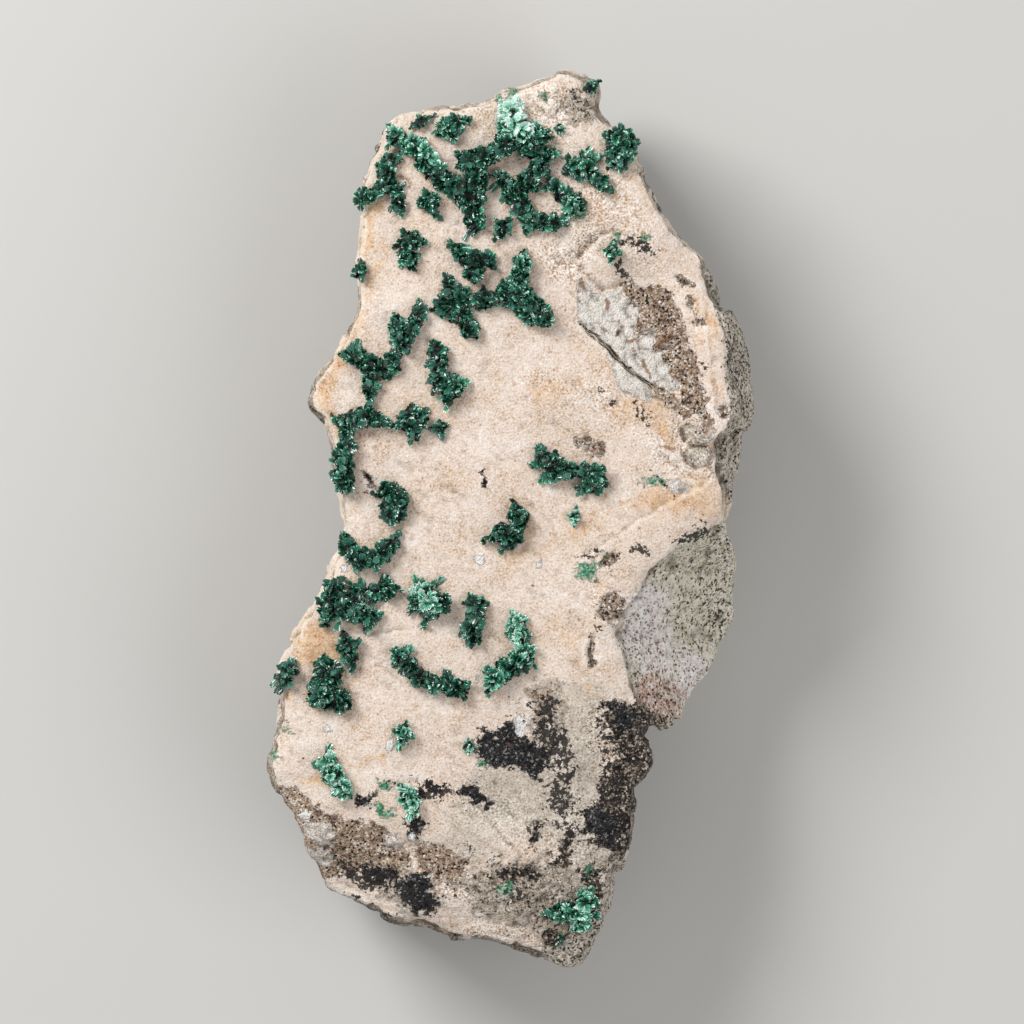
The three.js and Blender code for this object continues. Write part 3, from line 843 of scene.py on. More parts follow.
# Rusty cracks, mostly in the kaolin
RUST = hazes((
    (581, 279, 584, 288, 2.4, 1.0), (585, 290, 590, 302, 2.4, 0.9), (607, 299, 609, 308, 2.6, 1.0),
    (618, 321, 618, 332, 1.6, 0.9), (618, 332, 623, 342, 1.6, 0.8), (629, 341, 637, 338, 2.0, 0.9),
    (638, 342, 647, 334, 1.8, 0.8), (643, 350, 654, 355, 2.0, 0.8), (643, 361, 651, 377, 1.9, 1.0),
    (634, 350, 641, 360, 1.5, 0.7), (656, 346, 672, 336, 3.0, 1.0), (652, 341, 660, 334, 2.0, 0.7),
    (592, 318, 610, 334, 1.4, 0.7), (626, 340, 633, 352, 1.4, 0.6), (686, 300, 696, 306, 1.8, 0.7),
    (700, 318, 704, 325, 1.8, 0.7), (576, 262, 584, 268, 2.0, 0.5), (660, 446, 674, 449, 2.4, 0.8),
    (708, 458, 711, 470, 2.2, 0.7), (702, 418, 706, 432, 1.8, 0.6), (655, 676, 668, 690, 6.0, 0.5),
    (718, 300, 722, 318, 1.6, 0.4), (612, 398, 640, 402, 1.4, 0.4), (484, 458, 486, 466, 1.6, 0.6),
))

# How thickly black mineral specks are strewn
SPECKS = hazes((
    (450, 885, 540, 905, 24, 0.36), (540, 930, 590, 900, 18, 0.36), (512, 888, 528, 884, 17, 0.36),
    (430, 785, 470, 800, 12, 0.6), (602, 720, 622, 840, 16, 0.7), (548, 700, 552, 745, 15, 0.75),
    (722, 548, 716, 600, 20, 0.75), (712, 610, 700, 660, 16, 0.55), (728, 560, 736, 580, 7, 0.5),
    (566, 740, 570, 770, 10, 0.5), (340, 868, 372, 880, 9, 0.6), (360, 882, 430, 905, 12, 0.7),
    (577, 92, 588, 112, 8, 0.6), (628, 244, 646, 250, 8, 1.0), (618, 262, 627, 276, 7, 1.0),
    (602, 386, 604, 388, 3, 1.2), (640, 406, 652, 418, 7, 0.8), (612, 402, 614, 404, 3, 1.2),
    (660, 300, 692, 400, 14, 0.45), (590, 650, 600, 600, 10, 0.4), (636, 546, 650, 546, 7, 0.9),
    (676, 540, 700, 534, 7, 0.9), (560, 790, 580, 830, 16, 0.45), (480, 765, 475, 785, 8, 0.4),
    (655, 470, 700, 520, 12, 0.4), (730, 340, 748, 420, 12, 0.55), (410, 820, 420, 838, 8, 0.8),
    (600, 885, 594, 912, 7, 0.6), (470, 935, 520, 945, 10, 0.4), (385, 780, 440, 790, 8, 0.5),
    (700, 368, 712, 366, 4, 0.7), (660, 690, 690, 650, 12, 0.4), (590, 555, 612, 560, 8, 0.6),
    (460, 850, 500, 860, 10, 0.4), (520, 700, 560, 780, 26, 0.3), (556, 800, 566, 860, 14, 0.4),
))

# Where the surface breaks up into small flat flakes
FLAKES = hazes((
    (548, 100, 586, 108, 12, 1.0), (530, 118, 560, 130, 10, 0.6), (566, 262, 590, 244, 12, 0.8),
    (545, 250, 575, 275, 12, 0.5), (592, 300, 640, 340, 16, 0.6), (650, 360, 676, 384, 10, 0.6),
    (680, 430, 712, 462, 12, 0.7), (655, 445, 690, 470, 10, 0.6), (430, 880, 560, 905, 16, 0.9),
    (560, 905, 590, 940, 14, 0.9), (470, 930, 540, 945, 9, 0.7), (610, 720, 640, 840, 20, 0.9),
    (655, 700, 690, 690, 12, 0.6), (330, 840, 400, 860, 16, 0.6), (540, 700, 552, 745, 12, 0.7),
    (700, 440, 712, 480, 8, 0.6), (600, 600, 626, 620, 10, 0.6), (690, 300, 702, 322, 6, 0.6),
    (300, 420, 322, 380, 8, 0.7), (345, 300, 330, 340, 7, 0.6), (270, 740, 276, 700, 7, 0.6),
    (460, 80, 500, 92, 10, 0.4), (630, 620, 650, 700, 12, 0.5), (560, 210, 600, 190, 10, 0.3),
    (505, 120, 590, 190, 26, 0.3), (600, 170, 640, 240, 16, 0.35), (560, 220, 640, 250, 14, 0.3),
    (600, 400, 700, 440, 16, 0.3), (470, 800, 560, 850, 22, 0.3), (560, 760, 590, 860, 16, 0.35),
    (540, 380, 600, 390, 14, 0.3), (340, 640, 300, 650, 12, 0.25), (400, 100, 480, 110, 10, 0.4),
))

# Where the broken sides stand out further, in mm
SWELLS = hazes((
    (312, 372, 308, 398, 18, 0.9), (733, 562, 734, 604, 24, 1.05), (345, 897, 395, 924, 24, 1.1),
    (666, 729, 678, 722, 12, 0.9), (331, 456, 331, 490, 16, 0.7), (342, 520, 336, 560, 14, 0.7),
    (567, 69, 590, 76, 14, 0.6), (388, 118, 412, 112, 12, 0.5), (274, 680, 280, 658, 14, 0.5),
))

# The long open seam of fibrous dark mineral beside the kaolin
SEAM = (
    (576, 320), (586, 327), (595, 337), (606, 346), (616, 356), (626, 366), (636, 374),
    (646, 381), (655, 391),
)

# Lines of relief on the face
MARKS = (
    Mark(Form.GROOVE, SEAM, 0.15, 0.5),
    Mark(Form.GROOVE, SEAM[1:-1], 0.3, 0.3),
    Mark(Form.GROOVE, ((682, 430), (685, 440), (694, 446), (708, 446)), 0.85, 0.26),
    Mark(Form.GROOVE, ((683, 452), (687, 463), (696, 468)), 0.4, 0.3),
    Mark(Form.GROOVE, ((626, 355), (630, 366), (634, 377)), 0.4, 0.3),
    Mark(Form.GROOVE, ((633, 298), (627, 312), (634, 326)), 0.4, 0.3),
    Mark(Form.STEP, ((676, 345), (664, 350), (655, 352), (644, 350)), 0.5, 1.2),
    Mark(Form.STEP, ((704, 300), (708, 330), (712, 370), (716, 410)), -0.35, 2.0),
    Mark(
        Form.STEP,
        ((619, 287), (613, 290), (605, 293), (595, 286), (586, 278), (578, 273), (577, 260)),
        0.7, 2.0,
    ),
    Mark(Form.STEP, ((613, 232), (600, 237), (591, 245), (578, 262)), 0.6, 1.4),
    Mark(Form.STEP, ((403, 631), (390, 633), (376, 633)), 0.35, 1.4),
    Mark(Form.GROOVE, ((592, 638), (591, 652), (591, 666)), 0.6, 0.4),
    Mark(Form.GROOVE, ((400, 176), (406, 178), (411, 183)), 0.45, 0.25),
    Mark(Form.GROOVE, ((676, 277), (694, 286)), 0.5, 0.25),
    Mark(Form.RIDGE, ((663, 445), (674, 456), (686, 469)), 0.5, 0.4),
    Mark(Form.STEP, ((539, 108), (552, 115), (557, 106)), 0.5, 1.2),
    Mark(Form.STEP, ((531, 96), (545, 100), (556, 92)), 0.4, 1.0),
    Mark(Form.GROOVE, ((485, 799), (500, 809), (516, 819)), 0.35, 0.2),
    Mark(Form.GROOVE, ((457, 788), (482, 812), (503, 838), (521, 856)), 0.3, 0.18),
    Mark(Form.STEP, ((700, 486), (672, 500), (640, 520), (600, 548)), 0.3, 4.0),
    Mark(Form.GROOVE, ((366, 474), (371, 480), (376, 487)), 0.9, 0.3),
    Mark(Form.STEP, ((440, 806), (470, 830), (500, 850)), 0.25, 2.5),
    Mark(Form.RIDGE, ((563, 770), (572, 800), (570, 830)), 0.4, 2.2),
    Mark(Form.STEP, ((566, 386), (552, 380), (538, 388), (530, 398)), 0.16, 1.6),
    Mark(Form.STEP, ((524, 342), (504, 352), (490, 366)), 0.14, 1.6),
    Mark(Form.STEP, ((535, 505), (552, 520), (560, 540)), 0.18, 2.0),
    Mark(Form.STEP, ((450, 480), (470, 500), (476, 520)), 0.15, 2.0),
    Mark(Form.STEP, ((590, 240), (575, 262), (560, 278)), 0.15, 1.4),
)

# The numbers that the slab's mesh keeps beside those of its coats
MASKS = (
    "clay", "ochre", "grey_clay_and_shade", "rust", "specks", "flaky", "seam", "seam_side", "seam_course",
    "rim", "crystal_shadow", "hollow",
)


@dataclass(frozen=True)
class SlabFinish:
    """Clay-coated rock: kaolin-rich clay dried to a chalky skin over grainy sandstone.

    The clay gives the eye a warm matte cream with soft tan mottling and a fine tooth, and
    where it is gone the rock shows darker, coarser and full of specks.

    Attributes:
        clay_tones: The clay's colours from deepest to palest.
        ochre_tones: The colours of iron-stained clay.
        grey_and_shade_tones: The colours of the cooler clay, darker as painted shade.
        rock_tones: The colours of bare rock.
        rim_and_highlight_tones: The colours of freshly broken clay along the rim.
        rust_tone: The colour of rusty cracks.
        fleck_tone: The colour of small tan flecks in the clay.
        crease_tone: The colour of dust in the clay's fine creases.
        crest_highlight_tone: The colour of the clay's proud high spots, a painted highlight.
        hollow_shade_tone: What multiplies the colour in the deepest hollows, as painted shade.
        seam_tones: The colours of the fibres in the dark seam.
        speck_tone: The colour of the black mineral specks.
        patterns: Width in mm, layers of detail and harshness of each cloudy pattern.
        sand_size: Width of bare sand grains, in mm.
        bump_height: Height of the fine bumps, in mm.
        rock_grain: The share of coarse grain in the bare rock's shade.
        rim_grain: The same for the freshly broken rim.
        clay_fray: How raggedly the clay's border runs, as a share of the ragged pattern.
        rim_fray: The same for the freshly broken rim.
        rust_fray: The same for the rusty cracks.
        seam_fray: The same for the seam.
        hollow_shade_share: Share of the painted shade tone in the deepest hollows.
    """

    clay_tones: tuple[str, ...] = ("#b08e6c", "#d4bda8", "#e4d3c5", "#ecdfd5", "#faf5f0")
    ochre_tones: tuple[str, ...] = ("#a8784a", "#caa077", "#ddba92", "#ead2b6")
    grey_and_shade_tones: tuple[str, ...] = ("#87796a", "#b9ad9e", "#d2c7b9", "#ebe3d8")
    rock_tones: tuple[str, ...] = ("#40372d", "#6f6558", "#968b7c", "#b3a898", "#d8cdbf")
    # rim_and_highlight_tones: The colours of freshly broken clay along the rim, paler as a painted
    # highlight on the edges.
    rim_and_highlight_tones: tuple[str, ...] = ("#a88a68", "#d8c3aa", "#eee2d2", "#fbf6ee")
    rust_tone: str = "#8f6242"
    fleck_tone: str = "#b88d66"
    crease_tone: str = "#b49a80"
    crest_highlight_tone: str = "#efe6dc"
    hollow_shade_tone: str = "#5a4a3a"
    seam_tones: tuple[str, ...] = ("#0b0908", "#1c1814", "#6f6456", "#e6dbca", "#2f2822", "#0f0c0a")
    speck_tone: str = "#262120"
    # Real clay and sand are finer still, but nothing under 0.25 mm shows in a picture
    patterns: tuple[tuple[str, float, float, float], ...] = (
        ("grain", 0.32, 3, 0.6),
        ("mottle", 1.7, 4, 0.6),
        ("cloud", 7.0, 3, 0.55),
        ("fray", 1.5, 6, 0.74),
        ("crease", 2.1, 4, 0.5),
        ("fleck", 0.9, 3, 0.6),
        ("speck", 0.75, 4, 0.7),
    )
    sand_size: float = 0.31
    bump_height: float = 0.22
    rock_grain: float = 0.75
    rim_grain: float = 0.4
    clay_fray: float = 2.2
    rim_fray: float = 0.7
    rust_fray: float = 2.0
    seam_fray: float = 0.6
    hollow_shade_share: float = 0.65

    def material(self) -> bpy.types.Material:
        """Builds the slab's material from its coats.

        Returns:
            The material that the slab carries.
        """
        material, add = empty_material("clay_coated_sandstone")
        spot = add("TexCoord", out="Object")
        noise = {}
        for name, size, detail, harsh in self.patterns:
            scale = 1 / (size * MM)
            inputs = {"Vector": spot, "Scale": scale, "Detail": detail, "Roughness": harsh}
            noise[name] = add("TexNoise", inputs)
        names = [coat.name for coat in COATS] + list(MASKS)
        mask = {name: add("Attribute", out="Fac", attribute_name=name) for name in names}
        cells = add("TexVoronoi", {"Vector": spot, "Scale": 1 / (self.sand_size * MM)}, out="Color")
        sand = add("SeparateColor", (cells,)).node
        soft, coarse = self._textures(add, noise, sand)

        wander = add("Math", (noise["fray"], 2.0, -1.0), operation="MULTIPLY_ADD")
        shade = add("Mix", {0: self.rock_grain, 2: soft, 3: coarse})
        rock = add("ValToRGB", (shade,), stops=spread_stops(self.rock_tones))
        clay = self._clay(add, noise, mask)
        border = add("Math", (wander, self.clay_fray, mask["clay"]), operation="MULTIPLY_ADD")
        share = add("MapRange", (border, -0.2, 0.2), interpolation_type="SMOOTHSTEP")
        colour = add("Mix", {0: share, 6: rock, 7: clay}, 2, data_type="RGBA")
        roughness = add("Math", (share, 0.06, 0.86), operation="MULTIPLY_ADD")
        relief = add("Math", (share, -1.15, 1.8), operation="MULTIPLY_ADD")

        # Freshly broken clay along the rim, painted paler: partly a painted highlight on the edges
        broken_and_highlit = add("Math", (wander, self.rim_fray, mask["rim"]), operation="MULTIPLY_ADD")
        broken_and_highlit = add("MapRange", (broken_and_highlit, 0.95, 0.35, 0.0, 0.5), interpolation_type="SMOOTHSTEP")
        shade = add("Mix", {0: self.rim_grain, 2: soft, 3: coarse})
        fresh_and_highlit = add("ValToRGB", (shade,), stops=spread_stops(self.rim_and_highlight_tones))
        colour = add("Mix", {0: broken_and_highlit, 6: colour, 7: fresh_and_highlit}, 2, data_type="RGBA")

        gaps = cells.node.outputs["Distance"]
        dips = add("Math", (gaps, -0.5, noise["grain"]), operation="MULTIPLY_ADD")
        gaps = add("MapRange", (gaps, 0.4, 0.62), interpolation_type="SMOOTHSTEP")
        for coat in COATS:
            border = add("Math", (wander, coat.fray * 2, mask[coat.name]), operation="MULTIPLY_ADD")
            limits = (border, -coat.softness, coat.softness)
            share = add("MapRange", limits, interpolation_type="SMOOTHSTEP")
            shade = add("Mix", {0: coat.grain, 2: soft, 3: coarse})
            over = add("ValToRGB", (shade,), stops=spread_stops(coat.tones))
            for index, code in enumerate(coat.odd_grains):
                limits = (0.9, 0.92) if index < 2 else (0.12, 0.09)
                odd = add("MapRange", (sand.outputs[1 + index % 2], *limits))
                over = add("Mix", {0: odd, 6: over, 7: linear_colour(code)}, 2, data_type="RGBA")
            deep = add("Math", (gaps, 0.5 * coat.grain**2), operation="MULTIPLY")
            dark = linear_colour(coat.tones[0])
            over = add("Mix", {0: deep, 6: over, 7: dark}, 2, data_type="RGBA")
            colour = add("Mix", {0: share, 6: colour, 7: over}, 2, data_type="RGBA")
            roughness = add("Mix", {0: share, 2: roughness, 3: coat.roughness})
            relief = add("Mix", {0: share, 2: relief, 3: coat.relief})

        rust = add("Math", (wander, self.rust_fray, mask["rust"]), operation="MULTIPLY_ADD")
        rust = add("MapRange", (rust, 0.35, 0.9, 0.0, 0.8), interpolation_type="SMOOTHSTEP")
        brown = linear_colour(self.rust_tone)
        colour = add("Mix", {0: rust, 6: colour, 7: brown}, 2, data_type="RGBA")
        dots = add("Math", (mask["specks"], 0.3, noise["speck"]), operation="MULTIPLY_ADD")
        dots = add("MapRange", (dots, 0.722, 0.745, 0.0, 0.94), interpolation_type="SMOOTHSTEP")
        black = linear_colour(self.speck_tone)
        colour = add("Mix", {0: dots, 6: colour, 7: black}, 2, data_type="RGBA")
        colour = self._seam(add, mask, wander, colour)

        # Painted shade: the colour is multiplied darker in the mesh's hollows
        stops = {0: self.hollow_shade_tone, 0.5: "#ffffff", 1: "#ffffff"}
        sunk = add("ValToRGB", (mask["hollow"],), stops=stops)
        hollow_shade_mix = {0: self.hollow_shade_share, 6: colour, 7: sunk}
        colour = add("Mix", hollow_shade_mix, 2, data_type="RGBA", blend_type="MULTIPLY")
        bumps = add("Math", (noise["mottle"], 0.8, dips), operation="MULTIPLY_ADD")
        bumps = add("Math", (bumps, relief), operation="MULTIPLY")
        bump = add("Bump", {"Strength": 1.0, "Distance": self.bump_height * MM, "Height": bumps})
        surface = {
            "Base Color": colour,
            "Roughness": roughness,
            "IOR": 1.5,
            "Specular IOR Level": 0.35,
            "Normal": bump,
        }
        add("OutputMaterial", {"Surface": add("BsdfPrincipled", surface)})
        return material

    def _textures(
        self,
        add: Callable[..., bpy.types.NodeSocket],
        noise: dict[str, bpy.types.NodeSocket],
        sand: bpy.types.Node,
    ) -> tuple[bpy.types.NodeSocket, bpy.types.NodeSocket]:
        """The two patterns that every kind of rock mixes its shade from.

        Args:
            add: Adds a node to the material.
            noise: The cloudy patterns by name.
            sand: The node that gives each sand grain three random numbers.

        Returns:
            A soft mottling and a coarse sand grain, whose values mostly lie from 0.28 to 0.72.
        """
        soft = add("Math", (noise["mottle"], 0.45, -0.15), operation="MULTIPLY_ADD")
        soft = add("Math", (noise["grain"], 0.85, soft), operation="MULTIPLY_ADD")
        coarse = add("Math", (noise["mottle"], 0.5, -0.06), operation="MULTIPLY_ADD")
        coarse = add("Math", (noise["grain"], 0.16, coarse), operation="MULTIPLY_ADD")
        coarse = add("Math", (sand.outputs[0], 0.46, coarse), operation="MULTIPLY_ADD")
        return soft, coarse

    def _clay(
        self,
        add: Callable[..., bpy.types.NodeSocket],
        noise: dict[str, bpy.types.NodeSocket],
        mask: dict[str, bpy.types.NodeSocket],
    ) -> bpy.types.NodeSocket:
        """The clay's colour, with its cooler parts and painted shade, iron stain and a tan painted
        shadow by the crystals, flecks, creases and a painted highlight on its crests.

        Args:
            add: Adds a node to the material.
            noise: The cloudy patterns by name.
            mask: The mesh's numbers by name.

        Returns:
            The colour.
        """
        shade = add("Math", (noise["mottle"], 0.2), operation="MULTIPLY")
        shade = add("Math", (noise["cloud"], 0.25, shade), operation="MULTIPLY_ADD")
        shade = add("Math", (noise["grain"], 0.55, shade), operation="MULTIPLY_ADD")
        swing = add("Math", (noise["grain"], 0.5), operation="SUBTRACT")
        swing = add("Math", (swing, mask["flaky"]), operation="MULTIPLY")
        shade = add("Math", (swing, 1.4, shade), operation="MULTIPLY_ADD")
        colour = add("ValToRGB", (shade,), stops=spread_stops(self.clay_tones, 0.36, 0.66))
        # Partly painted shade: cooler, darker clay where the face falls away from the light
        cool = add("Math", (noise["mottle"], 0.6, mask["grey_clay_and_shade"]), operation="MULTIPLY_ADD")
        cool = add("MapRange", (cool, 0.3, 1.3), interpolation_type="SMOOTHSTEP")
        grey = add("ValToRGB", (shade,), stops=spread_stops(self.grey_and_shade_tones, 0.36, 0.66))
        colour = add("Mix", {0: cool, 6: colour, 7: grey}, 2, data_type="RGBA")

        stain = add("Math", (noise["mottle"], 1.0, mask["ochre"]), operation="MULTIPLY_ADD")
        stain = add("Math", (noise["fray"], 1.6, stain), operation="MULTIPLY_ADD")
        # Painted shadow: a tan stain is added beside the crystals, toward their lower right
        stain = add("Math", (mask["crystal_shadow"], 0.3, stain), operation="MULTIPLY_ADD")
        stain = add("MapRange", (stain, 1.42, 2.15, 0.0, 0.85), interpolation_type="SMOOTHSTEP")
        rusty = add("Math", (noise["mottle"], noise["grain"]))
        rusty = add("Math", (rusty, 0.5), operation="MULTIPLY")
        rusty = add("ValToRGB", (rusty,), stops=spread_stops(self.ochre_tones, 0.36, 0.64))
        colour = add("Mix", {0: stain, 6: colour, 7: rusty}, 2, data_type="RGBA")

        limits = (noise["cloud"], 0.4, 0.62, 0.0, 0.45)
        some = add("MapRange", limits, interpolation_type="SMOOTHSTEP")
        flecks = add("MapRange", (noise["fleck"], 0.63, 0.68), interpolation_type="SMOOTHSTEP")
        flecks = add("Math", (flecks, some), operation="MULTIPLY")
        tan = linear_colour(self.fleck_tone)
        colour = add("Mix", {0: flecks, 6: colour, 7: tan}, 2, data_type="RGBA")
        crease = add("Math", (noise["crease"], 0.5), operation="SUBTRACT")
        crease = add("Math", (crease,), operation="ABSOLUTE")
        crease = add("MapRange", (crease, 0.014, 0.0, 0.0, 0.55), interpolation_type="SMOOTHSTEP")
        crease = add("Math", (crease, some), operation="MULTIPLY")
        dusty = linear_colour(self.crease_tone)
        colour = add("Mix", {0: crease, 6: colour, 7: dusty}, 2, data_type="RGBA")
        # Painted highlight: the clay's proud spots are lightened
        limits = (mask["hollow"], 0.56, 0.8, 0.0, 0.5)
        crest = add("MapRange", limits, interpolation_type="SMOOTHSTEP")
        crest_highlight = linear_colour(self.crest_highlight_tone)
        return add("Mix", {0: crest, 6: colour, 7: crest_highlight}, 2, data_type="RGBA")

    def _seam(
        self,
        add: Callable[..., bpy.types.NodeSocket],
        mask: dict[str, bpy.types.NodeSocket],
        wander: bpy.types.NodeSocket,
        colour: bpy.types.NodeSocket,
    ) -> bpy.types.NodeSocket:
        """The seam's fibres, dark and tan side by side, which run along it.

        Args:
            add: Adds a node to the material.
            mask: The mesh's numbers by name.
            wander: A ragged pattern from -1 to 1.
            colour: The colour under the seam.

        Returns:
            The colour with the seam in it.
        """
        along = add("Math", (mask["seam_course"], 0.22), operation="MULTIPLY")
        across = add("Math", (mask["seam_side"], 3.6), operation="MULTIPLY")
        spot = add("CombineXYZ", (across, along))
        fibres = add("TexNoise", {"Vector": spot, "Scale": 1.0, "Detail": 2.0, "Roughness": 0.6})
        fibres = add("ValToRGB", (fibres,), stops=spread_stops(self.seam_tones, 0.38, 0.62))
        share = add("Math", (wander, self.seam_fray, mask["seam"]), operation="MULTIPLY_ADD")
        share = add("MapRange", (share, -0.04, 0.1), interpolation_type="SMOOTHSTEP")
        return add("Mix", {0: share, 6: colour, 7: fibres}, 2, data_type="RGBA")


@dataclass
class Slab:
    """The broken slab of rock with its skin of clay.

    Attributes:
        voxel: Width of the mesh's first cells, in mm.
        face_smoothing: How often the face's heights are evened out.
        side_smoothing: How often the broken sides are evened out.
        rest_height: Height above the resting plane below which the back stays flat, in mm.
        side_relief: Depth of the broken faces on the sides, in mm.
        side_face: Width of the broken faces on the sides, in mm.
        grain_relief: Height of the face's grain that the mesh carries, in mm.
        rim_reach: Distance from the edge over which the rim is broken, in mm.
        face_least: Least height of what counts as the face, in mm.
        edge_least: Least height of the sides' edge and of the finely divided face, in mm.
        overhang: How far the relief may stand out of the CAD box, in mm.
        drift: How far the coats' borders wander, and over what distance, in mm.
        loose_drift: The same for stains and specks.
        seam_half: Half the width of the open seam in its middle, in mm.
        hollow_depth: Depth at which a hollow counts as fully sunk, in mm.
        flake_height: Height of the small flakes, in mm.
        flake_gap: Depth of the cracks between the flakes, in mm.
        chip_depth: Depth of the chips in the clay, in mm.
        rim_bumps: Height of the bumps on the broken rim, in mm.
        gritty_bumps: Height of the bumps where mineral specks are thick, in mm.
        side_cracks: Depth of the cracks round large and small broken faces, in mm.
        side_limit: How far the broken faces may stand out, in mm.
        brow: How far below the face's height the coats begin to fade, in mm.
        stain_reach: How far down from there stains go, in mm.
        shadow_reach: How far from the crystals the tan painted shadow reaches, in mm.
        dust_shift: Which way and how far the painted shadow lies from the crystals, in mm.
    """

    voxel: float = 0.75
    face_smoothing: int = 14
    side_smoothing: int = 3
    rest_height: float = 0.6
    side_relief: float = 0.85
    side_face: float = 6.5
    grain_relief: float = 0.09
    rim_reach: float = 1.8
    face_least: float = 15.0
    edge_least: float = 20.0
    overhang: float = 0.5
    drift: tuple[float, float] = (0.55, 2.0)
    loose_drift: tuple[float, float] = (1.5, 4.5)
    seam_half: float = 0.48
    hollow_depth: float = 0.25
    flake_height: float = 0.3
    flake_gap: float = 0.14
    chip_depth: float = 0.16
    rim_bumps: float = 0.3
    gritty_bumps: float = 0.16
    side_cracks: tuple[float, float] = (0.25, 0.1)
    side_limit: float = 0.35
    brow: float = 5.0
    stain_reach: float = 4.0
    shadow_reach: float = 1.7
    dust_shift: tuple[float, float, float] = (0.35, -0.35, 0.0)

    def build(self, finish: SlabFinish) -> bpy.types.Object:
        """Builds and dresses the slab.

        Args:
            finish: The look of its surface.

        Returns:
            The slab, riding on the object's body in place of its CAD node.
        """
        mesh = self._fine_mesh()
        smooth = vertex_places(mesh)
        facing = vertex_normals(mesh)
        edge_gaps = self._edge_gaps(smooth, facing)
        moved = smooth + facing * self._relief(smooth, facing, edge_gaps)[:, None]
        moved[:, 2] = np.maximum(moved[:, 2], 0)
        for axis in (0, 1):
            low = CAD_LOW[axis] / MM - self.overhang
            high = CAD_HIGH[axis] / MM + self.overhang
            moved[:, axis] = np.clip(moved[:, axis], low, high)
        place_vertices(mesh, moved)
        self._keep_masks(mesh, smooth, facing, edge_gaps)
        slab = bpy.data.objects.new("slab", mesh)
        bpy.context.scene.collection.objects.link(slab)
        mesh.materials.append(finish.material())
        mesh.shade_smooth()
        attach(slab, "root")
        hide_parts("matrix")
        return slab

    def _fine_mesh(self) -> bpy.types.Mesh:
        """A fine even mesh of the CAD slab, finest on the face."""
        source = bpy.data.objects.new("slab_source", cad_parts["matrix"].data.copy())
        bpy.context.scene.collection.objects.link(source)
        remesh = source.modifiers.new("fine", "REMESH")
        remesh.mode = "VOXEL"
        remesh.voxel_size = self.voxel * MM
        ready = source.evaluated_get(bpy.context.evaluated_depsgraph_get())
        mesh = bpy.data.meshes.new_from_object(ready)
        bpy.data.objects.remove(source)
        mesh.name = "slab"
        mesh.materials.clear()
        self._even_out(mesh)
        shape = bmesh.new()
        shape.from_mesh(mesh)
        shape.normal_update()
        least = self.edge_least * MM
        upper = {f for f in shape.faces if f.normal.z > 0.5 and f.calc_center_median().z > least}
        inner = [e for e in shape.edges if all(f in upper for f in e.link_faces)]
        bmesh.ops.subdivide_edges(shape, edges=inner, cuts=1, use_grid_fill=True)
        bmesh.ops.triangulate(shape, faces=[f for f in shape.faces if len(f.verts) > 4])
        shape.to_mesh(mesh)
        shape.free()
        mesh.update()
        return mesh

    def _even_out(self, mesh: bpy.types.Mesh) -> None:
        """Takes the CAD solid's large flat faces out of the face and rounds the sides a little."""
        places = vertex_places(mesh)
        pairs = vertex_pairs(mesh)
        upper = ease(vertex_normals(mesh)[:, 2], 0.45, 0.8) * (places[:, 2] > self.face_least)
        for turn in range(self.face_smoothing):
            share = np.zeros_like(places)
            share[:, 2] = 0.75 * upper
            if turn < self.side_smoothing:
                share += 0.6 * (1 - upper)[:, None] * (places[:, 2] > 0.01)[:, None]
            places += share * (neighbour_means(places, pairs) - places)
        place_vertices(mesh, places)

    def _relief(
        self, places: np.ndarray, facing: np.ndarray, edge_gaps: np.ndarray
    ) -> np.ndarray:
        """How far each vertex moves out along its normal.

        Args:
            places: The vertices in mm.
            facing: Their normals.
            edge_gaps: Their distances from the face's edge, in mm.

        Returns:
            Distances in mm.
        """
        upper = ease(facing[:, 2], STEEP, 0.75) * (places[:, 2] > self.face_least)
        face = self._face_relief(places, edge_gaps)
        side = self._side_relief(places, facing)
        return face * upper + side * (1 - upper)

    def _face_relief(self, places: np.ndarray, edge_gaps: np.ndarray) -> np.ndarray:
        """Marks, the coats' steps and crumbs, flakes, chips and the clay's fine grain.

        Args:
            places: The vertices in mm.
            edge_gaps: Their distances from the face's edge, in mm.

        Returns:
            Distances in mm.
        """
        points = wandered(places, *self.drift, 81)
        face = np.zeros(len(places))
        for mark in MARKS:
            face += mark.relief(points)
        face *= 1 + 0.45 * smooth_noise(places, 2.6, 91)
        for coat in COATS:
            if coat.step or coat.crumble:
                depth = coat.depth(points)
                wander = 0.5 * smooth_noise(places, 1.6, 61)
                share = ease(depth + wander * coat.fray, -0.25, 0.35)
                bumps = 0.6 * facets(places, coat.bump_size, 71)[0]
                bumps += 0.5 * rough_noise(places, coat.bump_size, 71, 2)
                face += share * (coat.step + coat.crumble * bumps)
        level, border = facets(places * (1, 1, 0.6), 1.7, 107)
        flaky = np.clip(summed(FLAKES, points), 0, 1)
        cracked = 1 - ease(border, 0, 0.14)
        face += flaky * (self.flake_height * level - self.flake_gap * cracked)
        face += 0.13 * rough_noise(places, 3.8, 11, 2)
        face += self.grain_relief * rough_noise(places, 1.0, 13, 2)
        ripple = places * (0.62, 1.0, 1.0) + 0.3 * places[:, [1, 0, 2]]
        face += 0.1 * np.abs(rough_noise(ripple, 2.6, 17, 2)) - 0.04
        chipped = ease(smooth_noise(places, 7, 103), 0.0, 0.5)
        face -= self.chip_depth * chipped * ease(rough_noise(ripple, 1.7, 97, 2), 0.12, 0.3)
        rim = 1 - ease(edge_gaps, 0, self.rim_reach)
        face += rim * (self.rim_bumps * rough_noise(places, 1.2, 101, 2) - 0.12)
        rough_areas = np.clip(summed(SPECKS, points), 0, 1)
        return face + self.gritty_bumps * rough_areas * rough_noise(places, 1.3, 19, 2)

